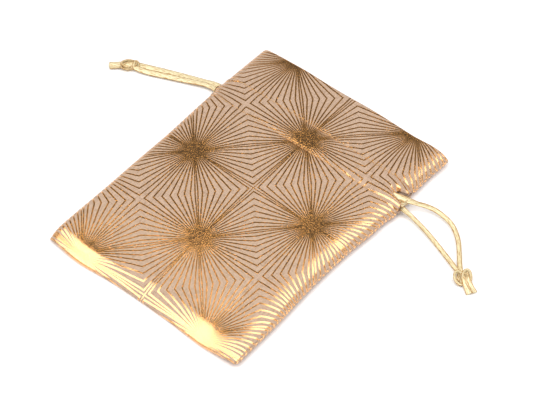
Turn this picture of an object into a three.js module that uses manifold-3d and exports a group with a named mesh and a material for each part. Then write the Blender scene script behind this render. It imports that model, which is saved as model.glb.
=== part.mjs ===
// Gift pouch with two satin drawstrings, lying flat on its back.
// Millimetres, +Z up: +X runs along the mouth, +Y points from the bottom fold to the mouth.

import * as THREE from 'three';
import { mergeVertices } from 'three/addons/utils/BufferGeometryUtils.js';
import Module from 'manifold-3d';

const wasm = await Module();
wasm.setup();

// Size of the sewn pouch, laid flat.
const POUCH_WIDTH = 120;
const POUCH_HEIGHT = 160;
const CORNER_RADIUS = 3;
// Below 1, so that the bottom edge keeps a short straight side at each corner.
const CORNER_SHARE = 0.96;

// Thickness of one layer of the cloth.
const CLOTH = 0.5;

// Height of the puffed front over the table, and at the mouth.
const PUFF = 9.4;
const MOUTH_HEIGHT = 8.4;

// Bottom fold: its thickness and how far up the pouch swells to its full height.
const FOLD_THICKNESS = 2.2;
const FOLD_RISE = 30;
const SWELL_POWER = 2.4;
const EDGE_RISE = 15;

// Side edges: thickness over all layers, plump on the left, and the width sewn shut inside.
const LEFT_THICKNESS = 6.4;
const RIGHT_THICKNESS = 2.4;
const SEAM_ALLOWANCE = 3;

// The plump left edge rolls down to its seam: width of the roll and share of the thickness it drops.
const LEFT_ROLL = 4.6;
const LEFT_DROP = 0.55;

// Height of the underside of each side seam above the table.
const LEFT_LIFT = 0.8;
const RIGHT_LIFT = 2.6;

// Share of the half width where the back leaves the table, and where the left edge's plumpness ends.
const FLAT_SHARE = 0.62;
const PLUMP_SHARE = 0.5;

// Straightness of the puffed front across the pouch: higher is flatter with steeper sides.
const PUFF_POWER = 4;

// Casing: distance from the mouth edge to the upper row of stitches, and between the rows.
const HEADER_DEPTH = 28;
const CASING_DEPTH = 15;
const STITCH_MARGIN = 1.2;
const VALLEY_DEPTH = 0.5;
const VALLEY_WIDTH = 1.5;
const CASING_BULGE = 0.7;
const SLOT_SPREAD = 1.2;

// Soft waves of the front lip.
const LIP_WAVE = 0.35;
const LIP_WAVES = 2.5;

// Sewing thread of the two casing rows.
const THREAD = 0.4;
const THREAD_CLEARANCE = 0.16;
const THREAD_SIDES = 6;

// Satin ribbon of the drawstrings.
const RIBBON_WIDTH = 3;
const RIBBON_THICKNESS = 0.35;
const RIBBON_CLEARANCE = 0.4;
const LANE_OFFSET = 3;
const TURN_REACH = 2.6;
const RIBBON_STEPS = 76;
const CASING_STEPS = 12;
const TAIL_STEPS = 5;

// Overhand knot that joins the two ends of each ribbon.
const KNOT_LOOP = 2.1;
const KNOT_STRAND = 0.85;
const KNOT_CORE = 2.7;
const KNOT_TILT = 0.5;
const CORE_SHARES = [1, 0.8, 0.6];
const LOOP_SHARES = [1.15, 0.9, 1];
const LOOP_OFFSETS = [0.4, 0.3];
const CORE_GRID = [10, 6];
const LOOP_GRID = [6, 12];

// Grid steps of the cloth surfaces, and how far they close up towards the sides.
const COLUMNS = 22;
const INNER_COLUMNS = 14;
const CLOSING_UP = 0.55;
const BODY_ROWS = 12;
const HEADER_ROWS = 4;
const CASING_ROWS = 2;
const TUNNEL_ROWS = 6;

// Distances of grid lines from the bottom fold and from a row of stitches.
const FOLD_LINES = [0, 0.4, 1.2, 2.6, 5];
const VALLEY_LINES = [-2.4, -1.1, 0, 1.1, 2.4];
const BODY_START = 10;
const BODY_END = 7;
const HEADER_START = 6;
const CASING_INSET = 5;

// Inside of the bottom fold: where the cavity starts, and the least share of the fold's round.
const CAVITY_START = 2.1;
const CAVITY_LINES_START = 4;
const FOLD_ROUND_MIN = 0.35;

// How far cutters reach past the surface that they open.
const OVERCUT = 1;

// Points closer than this are one point.
const MERGE_TOLERANCE = 0.0001;

const halfWidth = POUCH_WIDTH / 2;
const halfHeight = POUCH_HEIGHT / 2;
const upperRow = halfHeight - HEADER_DEPTH;
const lowerRow = upperRow - CASING_DEPTH;
const casingMiddle = (upperRow + lowerRow) / 2;
const tunnelGap = RIBBON_THICKNESS + 2 * RIBBON_CLEARANCE;
const slotThickness = 4 * CLOTH + 2 * tunnelGap + SLOT_SPREAD;
const backValley = THREAD + 2 * THREAD_CLEARANCE;

const { clamp, lerp, smoothstep } = THREE.MathUtils;

// 1 between the casing rows and 0 from the rows outwards.
function casingShare(y) {
  const t = Math.abs(y - casingMiddle) / (CASING_DEPTH / 2);
  return t < 1 ? 1 - t ** 4 : 0;
}

// 1 on a row of stitches, fading out on both sides.
function valleyShare(y) {
  const bell = (row) => Math.exp(-(((y - row) / VALLEY_WIDTH) ** 2));
  return bell(upperRow) + bell(lowerRow);
}

// Half width of the outline, with rounded corners at the bottom fold.
function outline(y) {
  const d = y + halfHeight;
  if (d >= CORNER_RADIUS) {
    return halfWidth;
  }
  const drop = CORNER_SHARE * (CORNER_RADIUS - d) ** 2;
  return halfWidth - CORNER_RADIUS + Math.sqrt(CORNER_RADIUS ** 2 - drop);
}

function edgeThickness(u, y) {
  const seam = lerp(LEFT_THICKNESS, RIGHT_THICKNESS, smoothstep(u, -PLUMP_SHARE, PLUMP_SHARE));
  return lerp(seam, Math.max(seam, slotThickness), casingShare(y));
}

// Thickness of the puffed pouch along its middle line.
function middleThickness(y) {
  const s = clamp((y + halfHeight) / FOLD_RISE, 0, 1);
  const swell = lerp(FOLD_THICKNESS, PUFF, 1 - (1 - s) ** SWELL_POWER);
  return lerp(swell, MOUTH_HEIGHT, smoothstep(y, upperRow, halfHeight));
}

function seamLift(u) {
  return (u < 0 ? LEFT_LIFT : RIGHT_LIFT) * smoothstep(Math.abs(u), FLAT_SHARE, 1);
}

// Share of its thickness that the left edge loses as it rolls down, except where the casing opens.
function edgeRoll(u, y) {
  const start = 1 - LEFT_ROLL / halfWidth;
  const e = clamp((-u - start) / (1 - start), 0, 1);
  return LEFT_DROP * (1 - Math.sqrt(1 - e * e)) * (1 - casingShare(y));
}

// Heights of the outer faces: u runs from -1 on the left seam to 1 on the right seam.
function backOuter(u, y) {
  return seamLift(u) + backValley * valleyShare(y);
}

function frontOuter(u, y) {
  const swell = 1 - Math.abs(u) ** PUFF_POWER;
  const fold = smoothstep(y + halfHeight, 0, EDGE_RISE);
  const edge = lerp(FOLD_THICKNESS, edgeThickness(u, y), fold);
  const full = lerp(edge, Math.max(edge, middleThickness(y)), swell);
  const thickness = full * (1 - edgeRoll(u, y));
  const bulge = CASING_BULGE * casingShare(y) * swell;
  const valley = VALLEY_DEPTH * valleyShare(y) * swell;
  const lip = LIP_WAVE * Math.sin(Math.PI * LIP_WAVES * u) * smoothstep(y, upperRow, halfHeight) * swell;
  return seamLift(u) + thickness + bulge - valley + lip;
}

// One layer below the casing, two layers in the folded header.
function layers(y) {
  return CLOTH * (1 + smoothstep(y, lowerRow - STITCH_MARGIN, lowerRow));
}

function frontInner(u, y) {
  return frontOuter(u, y) - layers(y) - tunnelGap * casingShare(y);
}

function backInner(u, y) {
  return backOuter(u, y) + layers(y) + tunnelGap * casingShare(y);
}

// Middle height of the ribbon inside the front or the back casing.
function tunnelHeight(front, u, y) {
  const depth = CLOTH + (tunnelGap * casingShare(y)) / 2;
  return front ? frontOuter(u, y) - depth : backOuter(u, y) + depth;
}

function evenSteps(from, to, count) {
  return Array.from({ length: count + 1 }, (_, i) => lerp(from, to, i / count));
}

// Steps from -reach to reach that close up towards both ends.
function edgeSteps(reach, count) {
  return evenSteps(-1, 1, count).map((s) => reach * lerp(s, Math.sin((Math.PI * s) / 2), CLOSING_UP));
}

function geometryFrom(vertices, triangles) {
  const geometry = new THREE.BufferGeometry();
  geometry.setAttribute('position', new THREE.Float32BufferAttribute(vertices, 3));
  geometry.setIndex(triangles);
  return geometry;
}

function toSolid(geometry) {
  const bare = geometry.clone();
  bare.deleteAttribute('normal');
  bare.deleteAttribute('uv');
  const merged = mergeVertices(bare, MERGE_TOLERANCE);
  const vertProperties = new Float32Array(merged.attributes.position.array);
  const triVerts = new Uint32Array(merged.index.array);
  return new wasm.Manifold(new wasm.Mesh({ numProp: 3, vertProperties, triVerts }));
}

function toGeometry(solid) {
  const { vertProperties, triVerts } = solid.getMesh();
  const geometry = geometryFrom(Array.from(vertProperties), Array.from(triVerts));
  geometry.computeVertexNormals();
  return geometry;
}

// Closed solid between two height fields over one grid of (u, y) lines.
function slab(us, ys, xOf, top, bottom) {
  const vertices = [];
  const triangles = [];
  const quad = (a, b, c, d) => triangles.push(a, b, c, a, c, d);
  const columns = us.length;
  const count = columns * ys.length;
  for (const height of [top, bottom]) {
    for (const y of ys) {
      for (const u of us) {
        vertices.push(xOf(u, y), y, height(u, y));
      }
    }
  }
  for (let j = 0; j + 1 < ys.length; j += 1) {
    for (let i = 0; i + 1 < columns; i += 1) {
      const a = j * columns + i;
      quad(a, a + 1, a + columns + 1, a + columns);
      quad(count + a, count + a + columns, count + a + columns + 1, count + a + 1);
    }
  }
  const last = (ys.length - 1) * columns;
  for (let i = 0; i + 1 < columns; i += 1) {
    quad(count + i, count + i + 1, i + 1, i);
    quad(last + i, last + i + 1, count + last + i + 1, count + last + i);
  }
  for (let j = 0; j + 1 < ys.length; j += 1) {
    const a = j * columns;
    const b = a + columns - 1;
    quad(a, a + columns, count + a + columns, count + a);
    quad(b, count + b, count + b + columns, b + columns);
  }
  return toSolid(geometryFrom(vertices, triangles));
}

// Grid lines across the pouch: close together at the fold and round the casing rows.
function crossLines() {
  const fold = FOLD_LINES.map((d) => d - halfHeight);
  const body = evenSteps(BODY_START - halfHeight, lowerRow - BODY_END, BODY_ROWS);
  const valley = (row) => VALLEY_LINES.map((d) => row + d);
  const header = evenSteps(upperRow + HEADER_START, halfHeight, HEADER_ROWS);
  const casing = evenSteps(lowerRow + CASING_INSET, upperRow - CASING_INSET, CASING_ROWS);
  return [...fold, ...body, ...valley(lowerRow), ...casing, ...valley(upperRow), ...header];
}

// Small round of the fold at the bottom: share of the full thickness.
function foldRound(y) {
  const t = clamp((y + halfHeight) / (FOLD_THICKNESS / 2), 0, 1);
  return Math.max(FOLD_ROUND_MIN, Math.sqrt(1 - (1 - t) ** 2));
}

function pouchCloth() {
  const xOf = (u, y) => u * outline(y);
  const middle = (u, y) => (frontOuter(u, y) + backOuter(u, y)) / 2;
  const half = (u, y) => ((frontOuter(u, y) - backOuter(u, y)) / 2) * foldRound(y);
  const outer = slab(
    edgeSteps(1, COLUMNS),
    crossLines(),
    xOf,
    (u, y) => middle(u, y) + half(u, y),
    (u, y) => middle(u, y) - half(u, y),
  );
  const inside = 1 - SEAM_ALLOWANCE / halfWidth;
  const cavityLines = [
    CAVITY_START - halfHeight,
    ...crossLines().filter((y) => y > CAVITY_LINES_START - halfHeight && y < halfHeight),
    halfHeight + OVERCUT,
  ];
  const cavity = slab(edgeSteps(inside, INNER_COLUMNS), cavityLines, xOf, frontInner, backInner);
  const reach = CASING_DEPTH / 2 - STITCH_MARGIN;
  const tunnelLines = evenSteps(casingMiddle - reach, casingMiddle + reach, TUNNEL_ROWS);
  const overSeam = 1 + OVERCUT / halfWidth;
  const tunnel = (front) => slab(
    edgeSteps(overSeam, COLUMNS),
    tunnelLines,
    (u) => u * halfWidth,
    (u, y) => tunnelHeight(front, u, y) + (tunnelGap * casingShare(y)) / 2,
    (u, y) => tunnelHeight(front, u, y) - (tunnelGap * casingShare(y)) / 2,
  );
  return toGeometry(outer.subtract(cavity).subtract(tunnel(true)).subtract(tunnel(false)));
}

// Thread of one casing row, lying in its valley from seam to seam.
function stitchRow(front, y) {
  const side = front ? 1 : -1;
  const outer = front ? frontOuter : backOuter;
  const lift = THREAD / 2 + THREAD_CLEARANCE;
  const inset = 1 - STITCH_MARGIN / halfWidth;
  const points = edgeSteps(1, COLUMNS)
    .map((u) => clamp(u, -inset, inset))
    .map((u) => new THREE.Vector3(u * halfWidth, y, outer(u, y) + side * lift));
  return sweep(points, points.map(() => new THREE.Vector3(0, 1, 0)), roundSection(THREAD / 2, THREAD_SIDES));
}

function roundSection(radius, sides) {
  return evenSteps(0, 2 * Math.PI, sides).slice(0, -1)
    .map((a) => new THREE.Vector2(radius * Math.cos(a), radius * Math.sin(a)));
}

// Flat section of the ribbon with thin selvedges.
function ribbonSection() {
  const w = RIBBON_WIDTH / 2;
  const t = RIBBON_THICKNESS / 2;
  const shoulder = w - RIBBON_THICKNESS;
  return [[w, 0], [shoulder, t], [-shoulder, t], [-w, 0], [-shoulder, -t], [shoulder, -t]]
    .map(([a, b]) => new THREE.Vector2(a, b));
}

// Closed sweep of a section along points, its first axis held to the given width directions.
function sweep(points, widths, section) {
  const vertices = [];
  const triangles = [];
  const sides = section.length;
  points.forEach((point, i) => {
    const before = points[Math.max(i - 1, 0)];
    const after = points[Math.min(i + 1, points.length - 1)];
    const along = after.clone().sub(before).normalize();
    const across = widths[i].clone().addScaledVector(along, -widths[i].dot(along)).normalize();
    const normal = along.clone().cross(across);
    for (const { x, y } of section) {
      const corner = point.clone().addScaledVector(across, x).addScaledVector(normal, y);
      vertices.push(corner.x, corner.y, corner.z);
    }
  });
  for (let i = 0; i + 1 < points.length; i += 1) {
    for (let k = 0; k < sides; k += 1) {
      const a = i * sides + k;
      const b = i * sides + ((k + 1) % sides);
      triangles.push(a, b, b + sides, a, b + sides, a + sides);
    }
  }
  const last = (points.length - 1) * sides;
  for (let k = 1; k + 1 < sides; k += 1) {
    triangles.push(0, k + 1, k, last, last + k, last + k + 1);
  }
  return geometryFrom(vertices, triangles);
}

// Ribbon through key points, each an array of x, y, z and the direction of the ribbon's width.
function ribbonAlong(keys, steps) {
  const places = keys.map(([x, y, z]) => new THREE.Vector3(x, y, z));
  const curve = new THREE.CatmullRomCurve3(places, false, 'centripetal');
  const points = [];
  const widths = [];
  for (let i = 0; i <= steps; i += 1) {
    const t = i / steps;
    const at = t * (keys.length - 1);
    const k = Math.min(Math.floor(at), keys.length - 2);
    const blend = new THREE.Vector3(...keys[k][3]).lerp(new THREE.Vector3(...keys[k + 1][3]), at - k);
    points.push(curve.getPoint(t));
    widths.push(blend);
  }
  return sweep(points, widths, ribbonSection());
}

const ACROSS = [0, 1, 0];

// The stretch of a ribbon inside one casing, from side to side.
function casingRun(front, lane, direction) {
  const y = casingMiddle + lane;
  return edgeSteps(1, CASING_STEPS).map((u) => {
    const x = direction * u;
    return [x * halfWidth, y, tunnelHeight(front, x, y), ACROSS];
  });
}

// The turn of a ribbon round the far side seam, from the front casing to the back one.
function seamTurn(side, frontLane, backLane) {
  const top = tunnelHeight(true, side, casingMiddle + frontLane);
  const bottom = tunnelHeight(false, side, casingMiddle + backLane);
  const slope = new THREE.Vector3(0, backLane - frontLane, bottom - top).normalize();
  const width = [0, -slope.z, slope.y].map((v) => v * Math.sign(-slope.z));
  const x = side * (halfWidth + TURN_REACH);
  return [[x, casingMiddle + (frontLane + backLane) / 2, (top + bottom) / 2, width]];
}

// Key points given outwards from the pouch's side edge, up from the casing's middle line and in height,
// each with the direction of the ribbon's width in the same three axes.
function fromSlot(side, keys) {
  return keys.map(([out, up, z, [across, along, rise]]) => [
    side * (halfWidth + out),
    casingMiddle + up,
    z,
    [side * across, along, rise],
  ]);
}

// Knot of two interlocked loops round a core, with its two tails.
function knotSolid(side, knot, heading, tails) {
  const centre = [side * (halfWidth + knot[0]), casingMiddle + knot[1], knot[2]];
  const core = new THREE.SphereGeometry(KNOT_CORE, ...CORE_GRID);
  core.scale(...CORE_SHARES);
  const loops = [-1, 1].map((way) => {
    const loop = new THREE.TorusGeometry(KNOT_LOOP, KNOT_STRAND, ...LOOP_GRID);
    loop.scale(...LOOP_SHARES);
    loop.rotateX(way * KNOT_TILT);
    loop.translate(way * KNOT_LOOP * LOOP_OFFSETS[0], way * KNOT_LOOP * LOOP_OFFSETS[1], 0);
    return loop;
  });
  const bodies = [core, ...loops].map((part) => {
    part.rotateZ(heading);
    part.translate(...centre);
    return toSolid(part);
  });
  const ends = tails.map((tail) => toSolid(ribbonAlong(fromSlot(side, tail), TAIL_STEPS)));
  return [...bodies, ...ends].reduce((solid, piece) => solid.add(piece));
}

// One drawstring: in through the near front casing, round the far seam and back to its knot.
function drawstring(side, frontLane, { front, back, knot, heading, tails }) {
  const keys = [
    ...fromSlot(side, front),
    ...casingRun(true, frontLane, -side),
    ...seamTurn(-side, frontLane, -frontLane),
    ...casingRun(false, -frontLane, side),
    ...fromSlot(side, back),
  ];
  const ribbon = toSolid(ribbonAlong(keys, RIBBON_STEPS));
  return toGeometry(ribbon.add(knotSolid(side, knot, heading, tails)));
}

// Free ends of the right drawstring, from the knot to the slot and from the slot to the knot.
const RIGHT_ENDS = {
  front: [
    [47.6, -16.6, 2.5, [1, 0.5, 0]],
    [42.7, -12.1, 2, [1, 0.6, 0.2]],
    [37.7, -5.8, 1.8, [1, 0.8, 0.3]],
    [32, 0.4, 2, [0.8, 1, 0.4]],
    [24.2, 5.4, 2.2, [0.4, 1, 0.3]],
    [14.7, 6.7, 3, [0, 1, 0.3]],
    [9.1, 5.2, 4, [-0.2, 1, -0.1]],
    [5.6, 3.6, 5, [-0.4, 0.7, -0.6]],
    [2.9, 2.8, 6.1, [-0.2, 0.9, -0.3]],
  ],
  back: [
    [6.7, -3.6, 2.8, ACROSS],
    [16.9, -5.8, 2, [0.3, 1, 0]],
    [24.4, -8.1, 1.6, [0.4, 1, 0.2]],
    [34.3, -11.7, 1.5, [0.4, 1, 0.3]],
    [42, -14.8, 1.8, [0.5, 1, 0.2]],
    [47.6, -17.4, 2, [0.5, 1, 0]],
  ],
  knot: [48.5, -17.3, 2.3],
  heading: -0.6,
  tails: [
    [[49, -17.9, 2, [0.5, 1, 0]], [53.6, -20.4, 1.5, [0.5, 1, 0]], [56.5, -22.9, 0.9, [0.6, 1, 0.3]]],
    [[49.5, -17.6, 2.2, [0.5, 1, 0]], [55, -19.2, 1.7, [0.4, 1, 0.3]], [58.6, -20.1, 1, [0.4, 1, 0]]],
  ],
};

// Free ends of the left drawstring, in the same order.
const LEFT_ENDS = {
  front: [
    [46.7, -16, 2.2, [0.4, 1, 0]],
    [43.3, -15.1, 1.8, [0.4, 1, 0]],
    [31.8, -10.7, 1.7, [0.4, 1, 0]],
    [19.9, -5.6, 1.9, [0.4, 1, 0]],
    [9.8, -2.7, 3.2, [0.3, 1, 0]],
    [4.8, -2.8, 4.6, [0.2, 1, 0]],
  ],
  back: [
    [7.2, 2, 1.8, [0.2, 1, 0]],
    [11.4, 0.7, 1.5, [0.3, 1, 0]],
    [19.9, -1.9, 1, [0.4, 1, 0]],
    [32.7, -6.5, 1, [0.4, 1, 0]],
    [39.8, -9.6, 1.2, [0.4, 1, 0]],
    [45.2, -12.3, 1.6, [0.4, 1, 0]],
    [48.2, -14.2, 2.1, [0.4, 1, 0]],
  ],
  knot: [49.8, -15.4, 2.2],
  heading: 0.35,
  tails: [
    [[50.2, -16, 2, [0.5, 1, 0]], [55.6, -18.6, 1.6, [0.5, 1, 0]], [58.6, -20.8, 1.2, [0.6, 1, 0]]],
    [[50.2, -16.6, 2, [0.5, 1, 0]], [54.2, -20.4, 1.3, [0.6, 1, 0.3]], [57.2, -22.8, 0.9, [0.6, 1, 0]]],
  ],
};

const CLOTH_FINISH = { color: 0xb58a5c, roughness: 0.55, metalness: 0.35, side: THREE.DoubleSide };
const RIBBON_FINISH = { color: 0xf2d58a, roughness: 0.35, metalness: 0.1 };
const THREAD_FINISH = { color: 0xb9834a, roughness: 0.6, metalness: 0 };

function namedMesh(name, geometry, finish) {
  const mesh = new THREE.Mesh(geometry, new THREE.MeshStandardMaterial(finish));
  mesh.name = name;
  return mesh;
}

const pouch = new THREE.Group();
pouch.add(namedMesh('pouch_cloth', pouchCloth(), CLOTH_FINISH));

for (const [row, y] of [['upper', upperRow], ['lower', lowerRow]]) {
  for (const front of [true, false]) {
    const name = `casing_stitch_${front ? 'front' : 'back'}_${row}`;
    pouch.add(namedMesh(name, stitchRow(front, y), THREAD_FINISH));
  }
}

pouch.add(namedMesh('drawstring_left', drawstring(-1, -LANE_OFFSET, LEFT_ENDS), RIBBON_FINISH));
pouch.add(namedMesh('drawstring_right', drawstring(1, LANE_OFFSET, RIGHT_ENDS), RIBBON_FINISH));

export default pouch;
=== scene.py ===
"""Dressed model of a printed cloth gift pouch with satin drawstrings, lying on a pale table.

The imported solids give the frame. This script dresses them: the folded cloth with its
foil print, the casing stitches, the four free ribbon strands, their turns round the side
seams and their knots. Lengths are in millimetres where nothing else is said.
"""

from __future__ import annotations

import logging
import math
from dataclasses import dataclass, field
from enum import Enum
from typing import Callable, Iterable, Sequence

import bmesh
import bpy
from mathutils import Matrix, Vector, noise

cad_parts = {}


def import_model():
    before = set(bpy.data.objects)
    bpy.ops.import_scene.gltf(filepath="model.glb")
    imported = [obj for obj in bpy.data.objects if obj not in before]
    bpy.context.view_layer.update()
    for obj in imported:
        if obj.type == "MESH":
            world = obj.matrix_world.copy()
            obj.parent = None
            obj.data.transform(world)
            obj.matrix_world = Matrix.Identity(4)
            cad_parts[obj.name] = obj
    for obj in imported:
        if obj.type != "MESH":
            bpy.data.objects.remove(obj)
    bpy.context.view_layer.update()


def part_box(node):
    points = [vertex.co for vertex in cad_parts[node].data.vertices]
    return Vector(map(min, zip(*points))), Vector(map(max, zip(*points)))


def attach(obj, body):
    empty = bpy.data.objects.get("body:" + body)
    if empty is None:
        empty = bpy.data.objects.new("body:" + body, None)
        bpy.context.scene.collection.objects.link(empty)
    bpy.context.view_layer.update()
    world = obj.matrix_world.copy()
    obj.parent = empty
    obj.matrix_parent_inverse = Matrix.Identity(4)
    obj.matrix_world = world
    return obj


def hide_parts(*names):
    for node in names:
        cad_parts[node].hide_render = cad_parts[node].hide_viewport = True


LOG = logging.getLogger("gift_pouch")

MM = 0.001
BODY = "root"
CLOTH_UV = "cut"
RIBBON_UV = "ribbon"

Point = tuple[float, float, float]
Colour = tuple[float, float, float, float]
Socket = bpy.types.NodeSocket
Value = bpy.types.NodeSocket | float | tuple[float, ...]


class Side(Enum):
    """The two sides of the pouch that a drawstring can leave from."""

    LEFT = -1
    RIGHT = 1


def clamp(value: float, low: float = 0.0, high: float = 1.0) -> float:
    """Hold a value between two limits."""
    return max(low, min(high, value))


def lerp(a: float, b: float, t: float) -> float:
    """Blend from a to b."""
    return a + (b - a) * t


def smoothstep(value: float, low: float, high: float) -> float:
    """Ease from 0 at low to 1 at high."""
    t = clamp((value - low) / (high - low))
    return t * t * (3.0 - 2.0 * t)


def soft_noise(x: float, y: float, reach: tuple[float, float], seed: float) -> float:
    """Smooth noise round 0, with features about as large as the reach in x and y."""
    return noise.noise(Vector((x / reach[0], y / reach[1], seed)))


@dataclass(frozen=True)
class PouchSizes:
    """Driving sizes of the sewn pouch, in millimetres; width and height come from the frame."""

    width: float
    height: float
    cloth: float = 0.5
    corner_radius: float = 2.6
    puff: float = 9.4
    mouth_height: float = 8.4
    mouth_edge: float = 4.6
    fold_thickness: float = 2.2
    fold_rise: float = 10.0
    fold_power: float = 1.5
    fold_height: float = 6.3
    slow_rise: float = 46.0
    edge_start: float = -1.0
    edge_rise: float = 7.5
    seam_blend: float = 0.5
    left_fullness: int = 4
    right_fullness: int = 8
    left_thickness: float = 6.4
    right_thickness: float = 2.4
    left_lift: float = 0.8
    right_lift: float = 2.6
    flat_share: float = 0.62
    header_depth: float = 28.0
    casing_depth: float = 15.0
    valley_depth: float = 0.18
    valley_width: float = 1.3
    casing_bulge: float = 0.3
    slot_spread: float = 0.2
    lip_wave: float = 0.35
    lip_waves: float = 2.5
    settle: float = 0.35
    mouth_settle: float = 0.55
    hem_tuck: float = 2.0
    thread: float = 0.4
    thread_clearance: float = 0.16
    ribbon_thickness: float = 0.35
    ribbon_clearance: float = 0.4
    lane_offset: float = 3.0

    @property
    def half_width(self) -> float:
        """Half of the flat width."""
        return self.width / 2

    @property
    def half_height(self) -> float:
        """Half of the flat height."""
        return self.height / 2

    @property
    def upper_row(self) -> float:
        """Place of the upper row of stitches."""
        return self.half_height - self.header_depth

    @property
    def lower_row(self) -> float:
        """Place of the lower row of stitches."""
        return self.upper_row - self.casing_depth

    @property
    def casing_middle(self) -> float:
        """Middle line of the casing."""
        return (self.upper_row + self.lower_row) / 2

    @property
    def tunnel_gap(self) -> float:
        """Clear height of the casing round the ribbon."""
        return self.ribbon_thickness + 2 * self.ribbon_clearance

    @property
    def slot_thickness(self) -> float:
        """Thickness of the side edge where the casing opens."""
        return 4 * self.cloth + 2 * self.tunnel_gap + self.slot_spread


@dataclass(frozen=True)
class Hump:
    """A smooth hump in a line: where it is, how far it spreads and how high it is."""

    at: float
    spread: float
    height: float

    def value(self, place: float) -> float:
        """Height of the hump at a place."""
        return self.height * math.exp(-(((place - self.at) / self.spread) ** 2))


@dataclass(frozen=True)
class EdgeLine:
    """How the pouch's soft outline departs from a straight one, in millimetres."""

    slow_wave: float = 0.18
    slow_length: float = 19.0
    quick_wave: float = 0.1
    quick_length: float = 7.5
    stitch_pull: float = 0.3
    left_out: float = 1.0
    left_flare: float = 0.6
    left_flare_end: float = 60.0
    right_in: float = 0.5
    right_flare: float = 0.7
    right_flare_start: float = 62.0
    right_flare_end: float = 80.0
    right_humps: tuple[Hump, ...] = (
        Hump(at=-10.0, spread=34.0, height=-1.9),
        Hump(at=22.0, spread=12.0, height=0.9),
        Hump(at=37.0, spread=5.0, height=1.9),
    )
    corner_share: float = 0.98
    bottom_out: float = 0.5
    bottom_humps: tuple[Hump, ...] = (
        Hump(at=-41.0, spread=17.0, height=2.0),
        Hump(at=37.0, spread=15.0, height=1.0),
    )
    bottom_depth: float = 20.0

    def side_shift(self, side: int, y: float) -> float:
        """How far a side edge lies outside its straight line.

        Args:
            side: -1 for the left edge and 1 for the right one.
            y: Place along the edge.

        Returns:
            The distance, negative where the edge lies inside.
        """
        slow = self.slow_wave * math.sin(y / self.slow_length + side)
        quick = self.quick_wave * math.sin(y / self.quick_length + 2 * side)
        if side < 0:
            return slow + quick + self.left_out + self.left_flare * smoothstep(y, 0.0, self.left_flare_end)
        flare = self.right_flare * smoothstep(y, self.right_flare_start, self.right_flare_end)
        humps = sum(hump.value(y) for hump in self.right_humps)
        return slow + quick - self.right_in + humps + flare

    def bottom_shift(self, x: float) -> float:
        """How far the bottom fold lies outside its straight line."""
        return self.bottom_out + sum(hump.value(x) for hump in self.bottom_humps)


@dataclass(frozen=True)
class ClothRelief:
    """Small unevenness of the front, in millimetres; u runs from -1 to 1 between the side seams."""

    sizes: PouchSizes
    broad_ripple: float = 0.45
    broad_reach: tuple[float, float] = (34.0, 30.0)
    small_ripple: float = 0.1
    small_edge_ripple: float = 0.2
    small_reach: tuple[float, float] = (13.0, 11.0)
    edge_range: tuple[float, float] = (0.55, 0.95)
    ripple_rise: float = 12.0
    ripple_fullness: int = 8
    fine_fullness: int = 12
    crease: float = 0.07
    crease_pitch: float = 1.3
    crease_drift: float = 0.9
    crease_start: float = 1.4
    crease_fade: tuple[float, float] = (4.0, 6.5)
    crease_drift_reach: tuple[float, float] = (16.0, 6.0)
    crease_patch: tuple[float, float] = (9.0, 2.5)
    crease_base: float = 0.55
    crease_swing: float = 0.9
    gather: float = 0.16
    gather_fade: float = 2.6
    gather_wave: float = 1.35
    gather_drift: float = 1.6
    gather_drift_reach: tuple[float, float] = (7.0, 1.0)
    gather_patch: tuple[float, float] = (5.0, 1.0)
    gather_base: float = 0.6
    gather_phase: float = 2.1

    def ripple(self, u: float, y: float) -> float:
        """Soft unevenness of the whole front.

        Args:
            u: Place across the front.
            y: Place along it.

        Returns:
            Height over the smooth front.
        """
        x = u * self.sizes.half_width
        broad = self.broad_ripple * soft_noise(x, y, self.broad_reach, seed=4.2)
        near_edge = smoothstep(abs(u), *self.edge_range)
        share = lerp(self.small_ripple, self.small_edge_ripple, near_edge)
        small = share * soft_noise(x, y, self.small_reach, seed=9.7)
        return (broad + small) * (1 - abs(u) ** self.ripple_fullness)

    def casing_crease(self, u: float, y: float) -> float:
        """Fine creases that run along the casing, just above its lower row.

        Args:
            u: Place across the front.
            y: Place along it.

        Returns:
            Height over the smooth front.
        """
        x = u * self.sizes.half_width
        up = y - self.sizes.lower_row
        near = smoothstep(up, 0.0, self.crease_start) * (1 - smoothstep(up, *self.crease_fade))
        drift = self.crease_drift * soft_noise(x, up, self.crease_drift_reach, seed=5.5)
        patch = soft_noise(x, up, self.crease_patch, seed=1.2)
        strength = clamp(self.crease_base + self.crease_swing * patch)
        wave = math.sin(2 * math.pi * (up + drift) / self.crease_pitch)
        return self.crease * near * strength * wave * (1 - abs(u) ** self.fine_fullness)

    def gathers(self, u: float, y: float) -> float:
        """Fine gathers that the stitches draw into the cloth beside each row.

        Args:
            u: Place across the front.
            y: Place along it.

        Returns:
            Height over the smooth front.
        """
        x = u * self.sizes.half_width
        total = 0.0
        for row, phase in ((self.sizes.upper_row, 0.0), (self.sizes.lower_row, self.gather_phase)):
            near = math.exp(-abs(y - row) / self.gather_fade)
            drift = self.gather_drift * soft_noise(x, row, self.gather_drift_reach, seed=0.0)
            wave = math.sin(x * self.gather_wave + phase + drift)
            total += near * wave * (self.gather_base + soft_noise(x, row, self.gather_patch, seed=3.0))
        return self.gather * total * (1 - abs(u) ** self.fine_fullness)


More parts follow.
